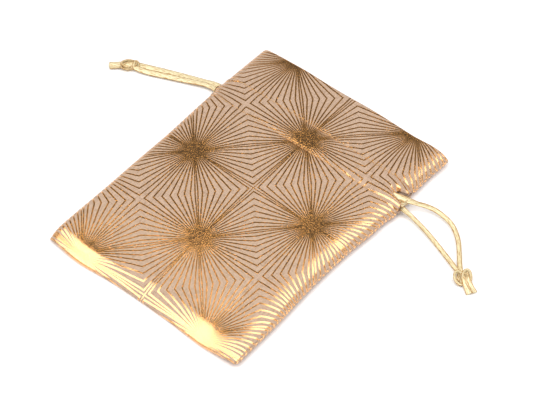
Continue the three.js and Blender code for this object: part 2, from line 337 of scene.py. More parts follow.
@dataclass(frozen=True)
class PouchForm:
    """Heights of the pouch's faces over the table; u runs from -1 to 1 between the side seams."""

    sizes: PouchSizes
    relief: ClothRelief
    edge: EdgeLine = EdgeLine()

    def casing_share(self, y: float) -> float:
        """Share of the casing's opening, 0 from the stitches outwards."""
        t = abs(y - self.sizes.casing_middle) / (self.sizes.casing_depth / 2)
        return 1 - t**4 if t < 1 else 0.0

    def valley_share(self, y: float) -> float:
        """Share of the valley's depth, 1 on a row of stitches."""
        rows = (self.sizes.upper_row, self.sizes.lower_row)
        return sum(Hump(row, self.sizes.valley_width, 1.0).value(y) for row in rows)

    def mouth_share(self, y: float) -> float:
        """0 up to the upper row of stitches, rising to 1 at the mouth."""
        return smoothstep(y, self.sizes.upper_row, self.sizes.half_height)

    def outline(self, side: int, y: float) -> float:
        """Half width of the outline.

        Args:
            side: -1 for the left edge and 1 for the right one.
            y: Place along the edge.

        Returns:
            Distance of the edge from the middle line.
        """
        s = self.sizes
        pull = self.edge.stitch_pull * self.valley_share(y)
        half = s.half_width + self.edge.side_shift(side, y) - pull
        up = max(y + s.half_height, 0.0)
        if up >= s.corner_radius:
            return half
        cut = self.edge.corner_share * (s.corner_radius - up) ** 2
        return half - s.corner_radius + math.sqrt(s.corner_radius**2 - cut)

    def bottom_reach(self, x: float, y: float) -> float:
        """How far the soft bottom fold bulges out past its straight line."""
        depth = self.sizes.half_height - self.edge.bottom_depth
        return self.edge.bottom_shift(x) * smoothstep(-y, depth, self.sizes.half_height)

    def seam_lift(self, u: float) -> float:
        """Height of the back's underside, which leaves the table towards the side seams."""
        lift = self.sizes.left_lift if u < 0 else self.sizes.right_lift
        return lift * smoothstep(abs(u), self.sizes.flat_share, 1.0)

    def edge_thickness(self, u: float, y: float) -> float:
        """Thickness over all layers at the side edge, plumper on the left.

        Args:
            u: Place across the pouch.
            y: Place along it.

        Returns:
            The thickness.
        """
        s = self.sizes
        left = lerp(s.left_thickness, s.mouth_edge, self.mouth_share(y))
        seam = lerp(left, s.right_thickness, smoothstep(u, -s.seam_blend, s.seam_blend))
        return lerp(seam, s.slot_thickness, self.casing_share(y))

    def middle_thickness(self, y: float) -> float:
        """Thickness of the puffed pouch along its middle line.

        Args:
            y: Place along the pouch.

        Returns:
            The thickness, which rises steeply from the bottom fold and then slowly.
        """
        s = self.sizes
        up = y + s.half_height
        rise = clamp(up / s.fold_rise)
        swell = lerp(s.fold_thickness, s.fold_height, 1 - (1 - rise) ** s.fold_power)
        swell += (s.puff - s.fold_height) * smoothstep(up, s.fold_rise / 2, s.slow_rise)
        return lerp(swell, s.mouth_height, self.mouth_share(y))

    def back_outer(self, u: float, y: float) -> float:
        """Height of the back's outer face."""
        valley = self.sizes.thread + 2 * self.sizes.thread_clearance
        return self.seam_lift(u) + valley * self.valley_share(y)

    def front_outer(self, u: float, y: float) -> float:
        """Height of the front's outer face.

        Args:
            u: Place across the front.
            y: Place along it.

        Returns:
            The height, without the fine creases and gathers.
        """
        s = self.sizes
        up = y + s.half_height
        swell = 1 - abs(u) ** (s.right_fullness if u > 0 else s.left_fullness)
        fold = smoothstep(up, s.edge_start, s.edge_rise)
        edge = lerp(s.fold_thickness, self.edge_thickness(u, y), fold)
        thickness = lerp(edge, max(edge, self.middle_thickness(y)), swell)
        bulge = s.casing_bulge * self.casing_share(y) * swell
        valley = s.valley_depth * self.valley_share(y) * swell
        lip = s.lip_wave * math.sin(math.pi * s.lip_waves * u) * self.mouth_share(y) * swell
        soft = self.relief.ripple(u, y) * smoothstep(up, 0.0, self.relief.ripple_rise)
        settle = (s.settle + s.mouth_settle * self.mouth_share(y)) * swell
        return self.seam_lift(u) + thickness + bulge - valley + lip + soft - settle

    def dressed_front(self, u: float, y: float) -> float:
        """Height of the front's outer face with its creases and gathers."""
        return self.front_outer(u, y) + self.relief.gathers(u, y) + self.relief.casing_crease(u, y)

    def front_inner(self, u: float, y: float) -> float:
        """Height of the hem's face inside the front."""
        return self.front_outer(u, y) - 2 * self.sizes.cloth - self.sizes.tunnel_gap * self.casing_share(y)

    def back_inner(self, u: float, y: float) -> float:
        """Height of the hem's face inside the back."""
        return self.back_outer(u, y) + 2 * self.sizes.cloth + self.sizes.tunnel_gap * self.casing_share(y)

    def tunnel_height(self, front: bool, u: float, y: float) -> float:
        """Middle height of the ribbon inside the front or the back casing."""
        depth = self.sizes.cloth + self.sizes.tunnel_gap * self.casing_share(y) / 2
        return self.front_outer(u, y) - depth if front else self.back_outer(u, y) + depth


class NodeMaker:
    """Short typed calls for building a material's node tree."""

    def __init__(self, name: str) -> None:
        """Start an empty material.

        Args:
            name: Name of the material.
        """
        self.material = bpy.data.materials.new(name)
        self.material.use_nodes = True
        self.tree = self.material.node_tree
        self.tree.nodes.clear()
        self.output = self.tree.nodes.new("ShaderNodeOutputMaterial")

    def add(self, kind: str, **settings: str) -> bpy.types.Node:
        """Add a node and set its properties.

        Args:
            kind: The node's type name.
            **settings: Properties set on the node.

        Returns:
            The new node.
        """
        node = self.tree.nodes.new(kind)
        for key, value in settings.items():
            setattr(node, key, value)
        return node

    def feed(self, socket: Socket, value: Value) -> None:
        """Link a socket to another one, or set its value.

        Args:
            socket: The input socket.
            value: An output socket, a number or a tuple.
        """
        if isinstance(value, Socket):
            self.tree.links.new(value, socket)
        else:
            socket.default_value = value

    def math(self, operation: str, a: Value, b: Value = 0.0) -> Socket:
        """Add a Math node.

        Args:
            operation: The Math node's operation.
            a: First value.
            b: Second value, where the operation takes one.

        Returns:
            The result's socket.
        """
        node = self.add("ShaderNodeMath", operation=operation)
        self.feed(node.inputs[0], a)
        self.feed(node.inputs[1], b)
        return node.outputs[0]

    def plus(self, a: Value, b: Value) -> Socket:
        """Add b to a."""
        return self.math("ADD", a, b)

    def minus(self, a: Value, b: Value) -> Socket:
        """Take b from a."""
        return self.math("SUBTRACT", a, b)

    def times(self, a: Value, b: Value) -> Socket:
        """Multiply a by b."""
        return self.math("MULTIPLY", a, b)

    def ease(self, value: Value, low: Value, high: Value) -> Socket:
        """Add a smooth ramp from 0 at low to 1 at high.

        Args:
            value: The value that is mapped.
            low: Where the ramp is 0.
            high: Where the ramp is 1.

        Returns:
            The result's socket.
        """
        node = self.add("ShaderNodeMapRange", interpolation_type="SMOOTHSTEP")
        for name, given in (("Value", value), ("From Min", low), ("From Max", high)):
            self.feed(node.inputs[name], given)
        return node.outputs["Result"]

    def mix(self, factor: Value, a: Value, b: Value) -> Socket:
        """Blend two colours.

        Args:
            factor: Share of b.
            a: First colour.
            b: Second colour.

        Returns:
            The blended colour's socket.
        """
        node = self.add("ShaderNodeMix", data_type="RGBA")
        self.feed(node.inputs["Factor"], factor)
        colours = [socket for socket in node.inputs if socket.type == "RGBA"]
        self.feed(colours[0], a)
        self.feed(colours[1], b)
        return next(socket for socket in node.outputs if socket.type == "RGBA")

    def noise(self, place: Socket, scale: float, detail: float = 2.0) -> Socket:
        """Add a noise texture.

        Args:
            place: Coordinates of the texture.
            scale: Features per unit of the coordinates.
            detail: Number of finer octaves.

        Returns:
            The noise value's socket.
        """
        node = self.add("ShaderNodeTexNoise")
        self.feed(node.inputs["Vector"], place)
        node.inputs["Scale"].default_value = scale
        node.inputs["Detail"].default_value = detail
        return node.outputs[0]

    def combine(self, x: Value, y: Value, z: Value = 0.0) -> Socket:
        """Join three numbers into a vector.

        Args:
            x: First part.
            y: Second part.
            z: Third part.

        Returns:
            The vector's socket.
        """
        node = self.add("ShaderNodeCombineXYZ")
        for socket, value in zip(node.inputs, (x, y, z)):
            self.feed(socket, value)
        return node.outputs[0]

    def stretched(self, x: Value, y: Value, x_share: float, y_share: float) -> Socket:
        """Join x and y into a vector, each times its share."""
        return self.combine(self.times(x, x_share), self.times(y, y_share))

    def flat_place(self, uv_map: str) -> tuple[Socket, Socket]:
        """Read a piece's flat coordinates.

        Args:
            uv_map: Name of the UV map that holds them in metres.

        Returns:
            The place across and along the flat piece, in millimetres.
        """
        flat = self.add("ShaderNodeUVMap", uv_map=uv_map)
        parts = self.add("ShaderNodeSeparateXYZ")
        self.feed(parts.inputs[0], flat.outputs[0])
        return self.times(parts.outputs[0], 1 / MM), self.times(parts.outputs[1], 1 / MM)

    def bump(
        self,
        height: Value,
        strength: Value,
        distance: float,
        below: Socket | None = None,
    ) -> Socket:
        """Raise and lower the shading by a height.

        Args:
            height: The height's pattern, about 0 to 1.
            strength: Share of the bump that shows.
            distance: Height of the bump, in millimetres.
            below: Normal that the bump starts from, if not the piece's own.

        Returns:
            The new normal's socket.
        """
        node = self.add("ShaderNodeBump")
        self.feed(node.inputs["Height"], height)
        self.feed(node.inputs["Strength"], strength)
        node.inputs["Distance"].default_value = distance * MM
        if below is not None:
            self.feed(node.inputs["Normal"], below)
        return node.outputs["Normal"]

    def surface(self, **inputs: Value) -> bpy.types.Material:
        """Add the shader and link it to the output.

        Args:
            **inputs: Values of the shader's inputs, with _ for a blank in the name.

        Returns:
            The finished material.
        """
        shader = self.add("ShaderNodeBsdfPrincipled")
        for key, value in inputs.items():
            self.feed(shader.inputs[key.replace("_", " ")], value)
        self.feed(self.output.inputs["Surface"], shader.outputs["BSDF"])
        return self.material


@dataclass(frozen=True)
class Weave:
    """Plain weave of slubby threads, drawn in the flat cloth's coordinates, in millimetres."""

    pitch: float = 0.42
    slub: float = 1.6
    slub_scale: float = 0.5
    roundness: float = 0.8
    dip: float = 0.3
    fine: float = 2.6
    long: float = 0.22

    def thread(self, make: NodeMaker, across: Socket, along: Socket) -> Socket:
        """Add the height of one set of threads.

        Args:
            make: The material's node maker.
            across: Sine over the threads' width.
            along: Sine along the threads, 0 where they dive below the others.

        Returns:
            The height, from 0 to 1.
        """
        rounded = make.math("POWER", make.math("ABSOLUTE", across), self.roundness)
        dipped = make.math("POWER", make.math("ABSOLUTE", along), self.dip)
        return make.times(rounded, dipped)

    def build(self, make: NodeMaker, x: Socket, y: Socket) -> tuple[Socket, Socket]:
        """Add the weave's height and its colour variation.

        Args:
            make: The material's node maker.
            x: Coordinate across the strip.
            y: Coordinate along the strip.

        Returns:
            The height and the colour variation, both from 0 to 1.
        """
        slow = make.noise(make.combine(x, y), self.slub_scale, 1.0)
        drift = make.times(make.minus(slow, 0.5), self.slub)
        warp = make.math("SINE", make.times(make.plus(x, drift), math.pi / self.pitch))
        weft = make.math("SINE", make.times(make.plus(y, drift), math.pi / self.pitch))
        over = make.math("GREATER_THAN", make.times(warp, weft), 0.0)
        warp_height = make.times(over, self.thread(make, warp, weft))
        weft_height = make.times(make.minus(1.0, over), self.thread(make, weft, warp))
        warp_streak = make.noise(make.stretched(x, y, self.fine, self.long), 1.0)
        weft_streak = make.noise(make.stretched(x, y, self.long, self.fine), 1.0)
        streak = make.times(make.plus(warp_streak, weft_streak), 0.5)
        return make.plus(warp_height, weft_height), streak


@dataclass(frozen=True)
class BurstPrint:
    """Foil print: bursts on a diagonal lattice, joined by fans of bent lines; in millimetres."""

    column: float = 38.7
    row: float = 40.2
    first_x: float = -39.5
    first_y: float = 82.2
    lines: int = 16
    crowding: float = 0.75
    line: float = 0.84
    root_line: float = 0.62
    root_start: float = 2.0
    root_end: float = 12.0
    cross_line: float = 0.56
    soft: float = 0.09
    axis_slope: float = 0.03
    centre_dot: float = 1e-4

    @property
    def reach(self) -> float:
        """Distance from a burst to the next one on a diagonal."""
        return math.hypot(self.column, self.row)

    def stroke(self, make: NodeMaker, distance: Socket, half_width: Value) -> Socket:
        """Add a line's mask.

        Args:
            make: The material's node maker.
            distance: Distance from the line's middle.
            half_width: Half of the line's width.

        Returns:
            The mask, 1 on the line, with a soft edge.
        """
        low = make.minus(half_width, self.soft)
        high = make.plus(half_width, self.soft)
        return make.minus(1.0, make.ease(distance, low, high))

    def fan(self, make: NodeMaker, far: Socket, near: Socket, wobble: Socket) -> Socket:
        """Add the mask of the lines that run out from a burst and bend on its axes.

        Args:
            make: The material's node maker.
            far: Larger of the two lattice distances from the nearest burst.
            near: Smaller one.
            wobble: Small unevenness of the line's edge.

        Returns:
            The mask, 1 on a line.
        """
        half_lines = self.lines / 2
        slope = make.math("DIVIDE", near, far)
        index = make.times(make.math("POWER", slope, self.crowding), half_lines)
        off_line = make.math("ABSOLUTE", make.minus(make.math("FRACT", index), 0.5))
        step = make.math("POWER", make.math("MAXIMUM", slope, self.axis_slope), 1 - self.crowding)
        off_middle = make.times(off_line, make.times(step, far))
        off_middle = make.times(off_middle, self.reach / (half_lines * self.crowding))
        lean = make.math("SQRT", make.plus(make.times(slope, slope), 1.0))
        distance = make.plus(make.math("DIVIDE", off_middle, lean), wobble)
        grown = make.ease(make.times(far, self.reach), self.root_start, self.root_end)
        half_width = make.times(grown, (self.line - self.root_line) / 2)
        return self.stroke(make, distance, make.plus(half_width, self.root_line / 2))

    def build(self, make: NodeMaker, x: Socket, y: Socket, wobble: Socket) -> Socket:
        """Add the print's mask.

        Args:
            make: The material's node maker.
            x: Coordinate across the strip.
            y: Coordinate along the strip.
            wobble: Small unevenness of the line's edge.

        Returns:
            The mask, 1 where foil lies.
        """
        c = make.math("DIVIDE", make.minus(x, self.first_x), self.column)
        r = make.math("DIVIDE", make.minus(self.first_y, y), self.row)
        p = make.times(make.plus(c, r), 0.5)
        q = make.times(make.minus(c, r), 0.5)
        off_p = make.math("ABSOLUTE", make.minus(p, make.math("ROUND", p)))
        off_q = make.math("ABSOLUTE", make.minus(q, make.math("ROUND", q)))
        far = make.math("MAXIMUM", make.math("MAXIMUM", off_p, off_q), self.centre_dot)
        near = make.math("MINIMUM", off_p, off_q)
        from_diagonal = make.times(make.minus(far, near), self.reach / math.sqrt(2))
        cross = self.stroke(make, make.plus(from_diagonal, wobble), self.cross_line / 2)
        parity = make.plus(make.math("FLOOR", p), make.math("FLOOR", q))
        crossed = make.minus(1.0, make.math("PINGPONG", parity, 1.0))
        fan = self.fan(make, far, near, wobble)
        return make.math("MAXIMUM", fan, make.times(cross, crossed))


@dataclass(frozen=True)
class PrintedCloth:
    """Linen-look cloth with its gold foil print, on the printed face."""

    base: Colour = (0.52, 0.37, 0.27, 1.0)
    shade: Colour = (0.24, 0.145, 0.085, 1.0)
    foil: Colour = (0.95, 0.46, 0.13, 1.0)
    tone_range: tuple[float, float] = (0.34, 0.56)
    streak_share: float = 0.6
    fleck_share: float = 0.4
    fleck_scale: float = 2.4
    fleck_lift: float = 0.6
    catch_range: tuple[float, float] = (0.1, 0.4)
    worn_share: float = 0.86
    worn_scale: float = 0.08
    worn_range: tuple[float, float] = (0.3, 0.7)
    ragged: float = 0.16
    glitter: float = 0.27
    glitter_scale: float = 2.1
    glitter_range: tuple[float, float] = (0.52, 0.78)
    glitter_height: float = 0.3
    glitter_layer: float = 3.7
    gloss: float = 0.7
    matt: float = 0.82
    foil_smoothing: float = 0.58
    weave_bump: float = 0.5
    foil_levelling: float = 0.44
    weave_height: float = 0.12
    weave: Weave = Weave()
    pattern: BurstPrint = BurstPrint()

    def build(self) -> bpy.types.Material:
        """Build the material.

        Returns:
            The finished material.
        """
        make = NodeMaker("printed_cloth")
        x, y = make.flat_place(CLOTH_UV)
        height, streak = self.weave.build(make, x, y)
        fleck = make.noise(make.combine(x, y), self.fleck_scale, 1.0)
        wobble = make.times(make.minus(fleck, 0.5), self.ragged)
        mask = self.pattern.build(make, x, y, wobble)
        raised = make.plus(height, make.times(fleck, self.fleck_lift))
        foil = make.times(mask, make.ease(raised, *self.catch_range))
        tone = make.plus(make.times(streak, self.streak_share), make.times(fleck, self.fleck_share))
        cloth = make.mix(make.ease(tone, *self.tone_range), self.shade, self.base)
        worn = make.ease(make.noise(make.combine(x, y), self.worn_scale, 3.0), *self.worn_range)
        dull_foil = (*(value * self.worn_share for value in self.foil[:3]), 1.0)
        facets = make.noise(make.combine(x, y, self.glitter_layer), self.glitter_scale, 0.0)
        facets = make.ease(facets, *self.glitter_range)
        glint = make.bump(facets, make.times(mask, self.glitter), self.glitter_height)
        woven = make.minus(self.weave_bump, make.times(mask, self.foil_levelling))
        return make.surface(
            Base_Color=make.mix(foil, cloth, make.mix(worn, self.foil, dull_foil)),
            Metallic=foil,
            Roughness=make.minus(self.matt, make.times(foil, self.foil_smoothing)),
            Coat_Weight=make.times(foil, self.gloss),
            Coat_Roughness=0.22,
            Coat_IOR=2.3,
            Normal=make.bump(height, woven, self.weave_height, glint),
        )


@dataclass(frozen=True)
class PlainCloth:
    """The unprinted inner face of the same cloth."""

    base: Colour = (0.62, 0.47, 0.38, 1.0)
    shade: Colour = (0.47, 0.33, 0.25, 1.0)
    tone_range: tuple[float, float] = (0.35, 0.65)
    roughness: float = 0.72
    roughness_swing: float = 0.2
    weave_bump: float = 0.5
    weave_height: float = 0.12
    weave: Weave = Weave()

    def build(self) -> bpy.types.Material:
        """Build the material.

        Returns:
            The finished material.
        """
        make = NodeMaker("plain_cloth")
        height, streak = self.weave.build(make, *make.flat_place(CLOTH_UV))
        return make.surface(
            Base_Color=make.mix(make.ease(streak, *self.tone_range), self.shade, self.base),
            Roughness=make.plus(self.roughness, make.times(streak, self.roughness_swing)),
            Normal=make.bump(height, self.weave_bump, self.weave_height),
        )


@dataclass(frozen=True)
class SatinRibbon:
    """Pale gold satin with fine ribs along the length; its colour darkens towards each edge as painted
    shade where the edges turn down.
    """

    light: Colour = (0.83, 0.74, 0.47, 1.0)
    deep: Colour = (0.40, 0.21, 0.055, 1.0)
    rib: float = 0.16
    # Painted shade along both edges, where the ribbon turns down: where it starts, where it is full, and
    # how dark it gets.
    edge_shade_start: float = 0.8
    edge_shade_full: float = 1.4
    edge_shade_share: float = 0.75
    streak_share: float = 0.7
    streak_range: tuple[float, float] = (0.47, 0.60)
    streak_fine: float = 2.6
    streak_long: float = 0.3
    roughness: float = 0.26
    roughness_swing: float = 0.16
    rib_share: float = 0.25
    rib_bump: float = 0.35
    rib_height: float = 0.06

    def build(self) -> bpy.types.Material:
        """Build the material.

        Returns:
            The finished material.
        """
        make = NodeMaker("satin_ribbon")
        across, along = make.flat_place(RIBBON_UV)
        ribs = make.math("SINE", make.times(across, 2 * math.pi / self.rib))
        floats = make.noise(make.stretched(across, along, self.streak_fine, self.streak_long), 1.0)
        # Darken the colour towards both edges: painted shade where the ribbon's edges turn down.
        edge_shade = make.ease(make.math("ABSOLUTE", across), self.edge_shade_start, self.edge_shade_full)
        streaks = make.times(make.ease(floats, *self.streak_range), self.streak_share)
        tone = make.plus(make.times(edge_shade, self.edge_shade_share), streaks)
        height = make.plus(make.times(ribs, self.rib_share), floats)
        return make.surface(
            Base_Color=make.mix(make.math("MINIMUM", tone, 1.0), self.light, self.deep),
            Roughness=make.plus(self.roughness, make.times(floats, self.roughness_swing)),
            Metallic=0.1,
            Anisotropic=0.5,
            Sheen_Weight=0.3,
            Sheen_Roughness=0.4,
            Sheen_Tint=(1.0, 0.92, 0.7, 1.0),
            Normal=make.bump(height, self.rib_bump, self.rib_height),
        )


@dataclass(frozen=True)
class SewingThread:
    """Tan sewing thread with the twist of its plies."""

    light: Colour = (0.66, 0.42, 0.20, 1.0)
    deep: Colour = (0.42, 0.23, 0.09, 1.0)
    twist_scale: float = 900.0
    twist_unevenness: float = 1.5
    roughness: float = 0.5
    roughness_swing: float = 0.15
    ply_bump: float = 0.6
    ply_height: float = 0.05

    def build(self) -> bpy.types.Material:
        """Build the material.

        Returns:
            The finished material.
        """
        make = NodeMaker("sewing_thread")
        place = make.add("ShaderNodeTexCoord")
        wave = make.add("ShaderNodeTexWave", wave_type="BANDS", bands_direction="DIAGONAL")
        make.feed(wave.inputs["Vector"], place.outputs["Object"])
        wave.inputs["Scale"].default_value = self.twist_scale
        wave.inputs["Distortion"].default_value = self.twist_unevenness
        twist = wave.outputs["Fac"]
        return make.surface(
            Base_Color=make.mix(twist, self.deep, self.light),
            Roughness=make.plus(self.roughness, make.times(twist, self.roughness_swing)),
            Normal=make.bump(twist, self.ply_bump, self.ply_height),
        )


@dataclass(frozen=True)
class PaleTable:
    """Matt near-white table top."""

    tone: Colour = (0.93, 0.915, 0.93, 1.0)

    def build(self) -> bpy.types.Material:
        """Build the material.

        Returns:
            The finished material.
        """
        make = NodeMaker("pale_table")
        return make.surface(Base_Color=self.tone, Roughness=0.9, Specular_IOR_Level=0.1)


def finished_object(
    name: str,
    mesh: bpy.types.Mesh,
    materials: Iterable[bpy.types.Material],
) -> bpy.types.Object:
    """Put a mesh into the scene as a piece that rides on the pouch.

    Args:
        name: Name of the piece.
        mesh: Its mesh, in place.
        materials: Materials for its slots.

    Returns:
        The new object.
    """
    piece = bpy.data.objects.new(name, mesh)
    bpy.context.scene.collection.objects.link(piece)
    for material in materials:
        mesh.materials.append(material)
    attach(piece, BODY)
    return piece


@dataclass
class ClothBag:
    """The pouch's one strip of cloth, folded at the bottom, hemmed at the mouth, sewn at the sides."""

    form: PouchForm
    columns: int = 100
    crowding: float = 0.5
    mouth_turn: float = 0.5
    left_roll: float = 4.6
    right_roll: float = 2.4
    edge_arc: float = math.radians(150.0)
    left_groove: float = 0.28
    right_groove: float = 0.72
    left_slot_recess: float = -0.9
    right_slot_recess: float = 5.4
    slot_shift: float = 0.3
    slot_half: float = 2.5
    recess_start: float = 0.8
    slot_end_inside: float = 1.6
    slot_end_outside: float = 0.6
    open_roll: float = 0.6
    hem_inset: float = 0.9
    hem_blend: float = 5.0
    hem_apart: float = 0.06
    wall: float = 0.42
    seam_allowance: float = 6.0
    taken_up: float = 1.4
    swell_length: float = 24.0
    hem_step: float = 1.7
    lip_step: float = 0.28
    lip_reach: float = 0.4
    fold_step: float = 0.36
    fold_reach: float = 0.8
    front_step: float = 0.95
    front_casing_step: float = 0.42
    back_step: float = 1.2
    back_casing_step: float = 0.7
    fine_reach: float = 9.5

    @property
    def hem(self) -> float:
        """Length of each folded hem."""
        s = self.form.sizes
        return s.header_depth + s.casing_depth + s.hem_tuck

    @property
    def fold_radius(self) -> float:
        """Radius of the fold at the bottom."""
        return self.form.sizes.fold_thickness / 2

    @property
    def panel(self) -> float:
        """Straight length of the front or the back between its turns."""
        return self.form.sizes.height - self.mouth_turn - self.fold_radius

    @property
    def turn(self) -> float:
        """Length of cloth in half of a mouth turn."""
        return self.mouth_turn * math.pi / 2

    @property
    def fold_start(self) -> float:
        """Strip place where the bottom fold starts, counted from the middle of the front lip."""
        return self.turn + self.panel

    @property
    def fold_end(self) -> float:
        """Strip place where the bottom fold ends."""
        return self.fold_start + self.fold_radius * math.pi

    @property
    def level_zero(self) -> float:
        """Strip place of the pouch's middle line, where the print's coordinate is 0."""
        return self.turn + self.form.sizes.half_height - self.mouth_turn

    @property
    def strip_length(self) -> float:
        """Length of the whole strip."""
        return 2 * (self.hem + 2 * self.turn + self.panel) + self.fold_radius * math.pi

    def spread(self, t: float) -> float:
        """Close the columns up towards both side seams."""
        return lerp(t, math.sin(math.pi * t / 2), self.crowding)

    def seam_closed(self, y: float) -> float:
        """How far the side seam is sewn shut.

        Args:
            y: Place along the seam.

        Returns:
            1 where the seam is sewn and 0 where the casing opens.
        """
        off = abs(y - self.form.sizes.casing_middle)
        half = self.form.sizes.casing_depth / 2
        return smoothstep(off, half - self.slot_end_inside, half + self.slot_end_outside)

    def groove(self, side: int, y: float) -> tuple[float, float, float]:
        """Place of the side seam's groove.

        Args:
            side: -1 for the left seam and 1 for the right one.
            y: Place along the seam.

        Returns:
            Distance from the middle, height, and radius of the back's roll below it.
        """
        low = self.form.back_outer(side, y)
        high = self.form.front_outer(side, y)
        height = lerp(low, high, self.right_groove if side > 0 else self.left_groove)
        radius = (height - low) / (1 - math.cos(self.edge_arc))
        return self.form.outline(side, y) - radius * (1 - math.sin(self.edge_arc)), height, radius

    def slot_recess(self, side: int, u: float, y: float) -> float:
        """How far the front's edge is drawn back where the casing opens.

        Args:
            side: -1 for the left edge and 1 for the right one.
            u: Place across the front, from -1 to 1.
            y: Place along the edge.

        Returns:
            The recess, which fades out within a few millimetres of the edge.
        """
        depth = self.right_slot_recess if side > 0 else self.left_slot_recess
        off = (y - self.form.sizes.casing_middle - self.slot_shift) / self.slot_half
        return depth * math.exp(-(off**4)) * smoothstep(abs(u), self.recess_start, 1.0)

    def edge_drop(self, u: float, y: float, sewn: float, free: float) -> float:
        """How far the front rolls down to its side edge.

        Args:
            u: Place across the front, from -1 to 1.
            y: Place along the edge.
            sewn: Share of the roll where the seam is sewn.
            free: Share of the left edge's roll where the casing opens.

        Returns:
            The drop below the front's outer face.
        """
        side = -1 if u < 0 else 1
        roll = (self.right_roll if side > 0 else self.left_roll) / self.form.sizes.half_width
        e = clamp((abs(u) - (1 - roll)) / roll)
        height = self.form.front_outer(u, y) - self.groove(side, y)[1]
        share = lerp(free if side < 0 else 0.0, sewn, self.seam_closed(y))
        return height * (1 - math.sqrt(1 - e * e)) * share

    def front_point(self, u: float, y: float) -> Vector:
        """Place a point of the front's outer face.

        Args:
            u: Place across the front, from -1 to 1.
            y: Place along it.

        Returns:
            The point, in millimetres.
        """
        side = -1 if u < 0 else 1
        reach = lerp(self.form.outline(side, y), self.groove(side, y)[0], self.seam_closed(y))
        x = u * reach - side * self.slot_recess(side, u, y)
        return Vector((x, y, self.form.dressed_front(u, y) - self.edge_drop(u, y, 1.0, self.open_roll)))

    def back_point(self, u: float, y: float) -> Vector:
        """Place a point of the back's outer face, which rolls up round the side seam.

        Args:
            u: Place across the back, from -1 to 1.
            y: Place along it.

        Returns:
            The point, in millimetres.
        """
        side = -1 if u < 0 else 1
        radius = self.groove(side, y)[2]
        edge = self.form.outline(side, y)
        roll = radius * self.edge_arc / (edge + radius)
        angle = (abs(u) - (1 - roll)) / roll * self.edge_arc
        flat = Vector((u * edge, y, self.form.back_outer(u, y)))
        if angle <= 0:
            x = abs(u) / (1 - roll) * (edge - radius)
            rolled = Vector((side * x, y, flat.z))
        else:
            x = edge - radius + radius * math.sin(angle)
            z = self.form.back_outer(side, y) + radius * (1 - math.cos(angle))
            rolled = Vector((side * x, y, z))
        return flat.lerp(rolled, self.seam_closed(y))

    def hem_point(self, front: bool, u: float, y: float) -> Vector:
        """Place a point of a hem's face inside the pouch; both hems meet at the side seams.

        Args:
            front: Whether it is the front's hem.
            u: Place across the hem, from -1 to 1.
            y: Place along the pouch.

        Returns:
            The point, in millimetres.
        """
        form = self.form
        side = -1 if u < 0 else 1
        x = u * (form.outline(side, y) - self.hem_inset)
        z = form.front_inner(u, y) if front else form.back_inner(u, y)
        if front:
            x -= side * self.slot_recess(side, u, y)
            z -= self.edge_drop(u, y, 0.0, self.open_roll)
        middle = (form.front_outer(u, y) + form.back_outer(u, y)) / 2
        seam = middle + (self.hem_apart if front else -self.hem_apart)
        near = smoothstep(abs(u), 1 - self.hem_blend / form.sizes.half_width, 1.0)
        return Vector((x, y, lerp(z, seam, near * self.seam_closed(y))))

    def row_step(self, here: float) -> float:
        """Choose the distance to the grid's next row, shorter where the cloth bends.

        Args:
            here: Place along the strip.

        Returns:
            The distance, in millimetres.
        """
        lip = self.turn + self.lip_reach
        back_end = self.fold_end + self.panel
        casing = self.level_zero - self.form.sizes.casing_middle
        back_casing = back_end + self.turn - casing
        if abs(here) <= lip or back_end <= here < back_end + self.turn + lip:
            return self.lip_step
        if self.turn < here < self.fold_end:
            if here > self.fold_start - self.fold_reach:
                return self.fold_step
            return self.front_casing_step if abs(here - casing) < self.fine_reach else self.front_step
        if self.fold_end <= here < back_end:
            return self.back_casing_step if abs(here - back_casing) < self.fine_reach else self.back_step
        return self.hem_step

    def row_places(self) -> list[float]:
        """Space the grid's rows along the strip.

        Returns:
            The rows' places, from the front hem's end to the back hem's end.
        """
        first = -self.hem - self.turn
        places = [first]
        while places[-1] < first + self.strip_length:
            places.append(places[-1] + self.row_step(places[-1]))
        scale = self.strip_length / (places[-1] - first)
        return [first + (place - first) * scale for place in places]

    def place(self, u: float, s: float) -> Vector:
        """Place of a point of the strip, with the bottom's bulge.

        Args:
            u: Across the strip, from -1 to 1.
            s: Along the strip, from the front mouth edge down the front, in millimetres.

        Returns:
            The point, in millimetres.
        """
        point = self.folded(u, s)
        return point - Vector((0.0, self.form.bottom_reach(point.x, point.y), 0.0))

    def folded(self, u: float, s: float) -> Vector:
        """Place of a point of the strip round a straight bottom fold.

        Args:
            u: Across the strip, from -1 to 1.
            s: Along the strip, from the front mouth edge down the front, in millimetres.

        Returns:
            The folded point, in millimetres.
        """
        half = self.form.sizes.half_height
        top = half - self.mouth_turn
        bottom = self.fold_radius - half
        if s < -self.turn:
            return self.hem_point(True, u, top + s + self.turn)
        if s < self.turn:
            return self.turned(u, s / self.mouth_turn, True)
        if s < self.fold_start:
            return self.front_point(u, top - (s - self.turn))
        if s < self.fold_end:
            angle = math.pi / 2 - (s - self.fold_start) / self.fold_radius
            y = bottom - self.fold_radius * math.cos(angle)
            return self.on_arc(self.front_point(u, bottom), self.back_point(u, bottom), angle, y)
        rest = s - self.fold_end
        if rest < self.panel:
            return self.back_point(u, bottom + rest)
        rest -= self.panel + self.turn
        if rest < self.turn:
            return self.turned(u, -rest / self.mouth_turn, False)
        return self.hem_point(False, u, top - (rest - self.turn))

    def turned(self, u: float, angle: float, front: bool) -> Vector:
        """Point of the turn at the mouth, from the outer face over the edge to the hem.

        Args:
            u: Across the strip, from -1 to 1.
            angle: Angle over the mouth edge, positive towards the outer face.
            front: Whether this is the front lip.

        Returns:
            The point, in millimetres.
        """
        top = self.form.sizes.half_height - self.mouth_turn
        outer = self.front_point(u, top) if front else self.back_point(u, top)
        y = top + self.mouth_turn * math.cos(angle)
        return self.on_arc(outer, self.hem_point(front, u, top), angle, y)

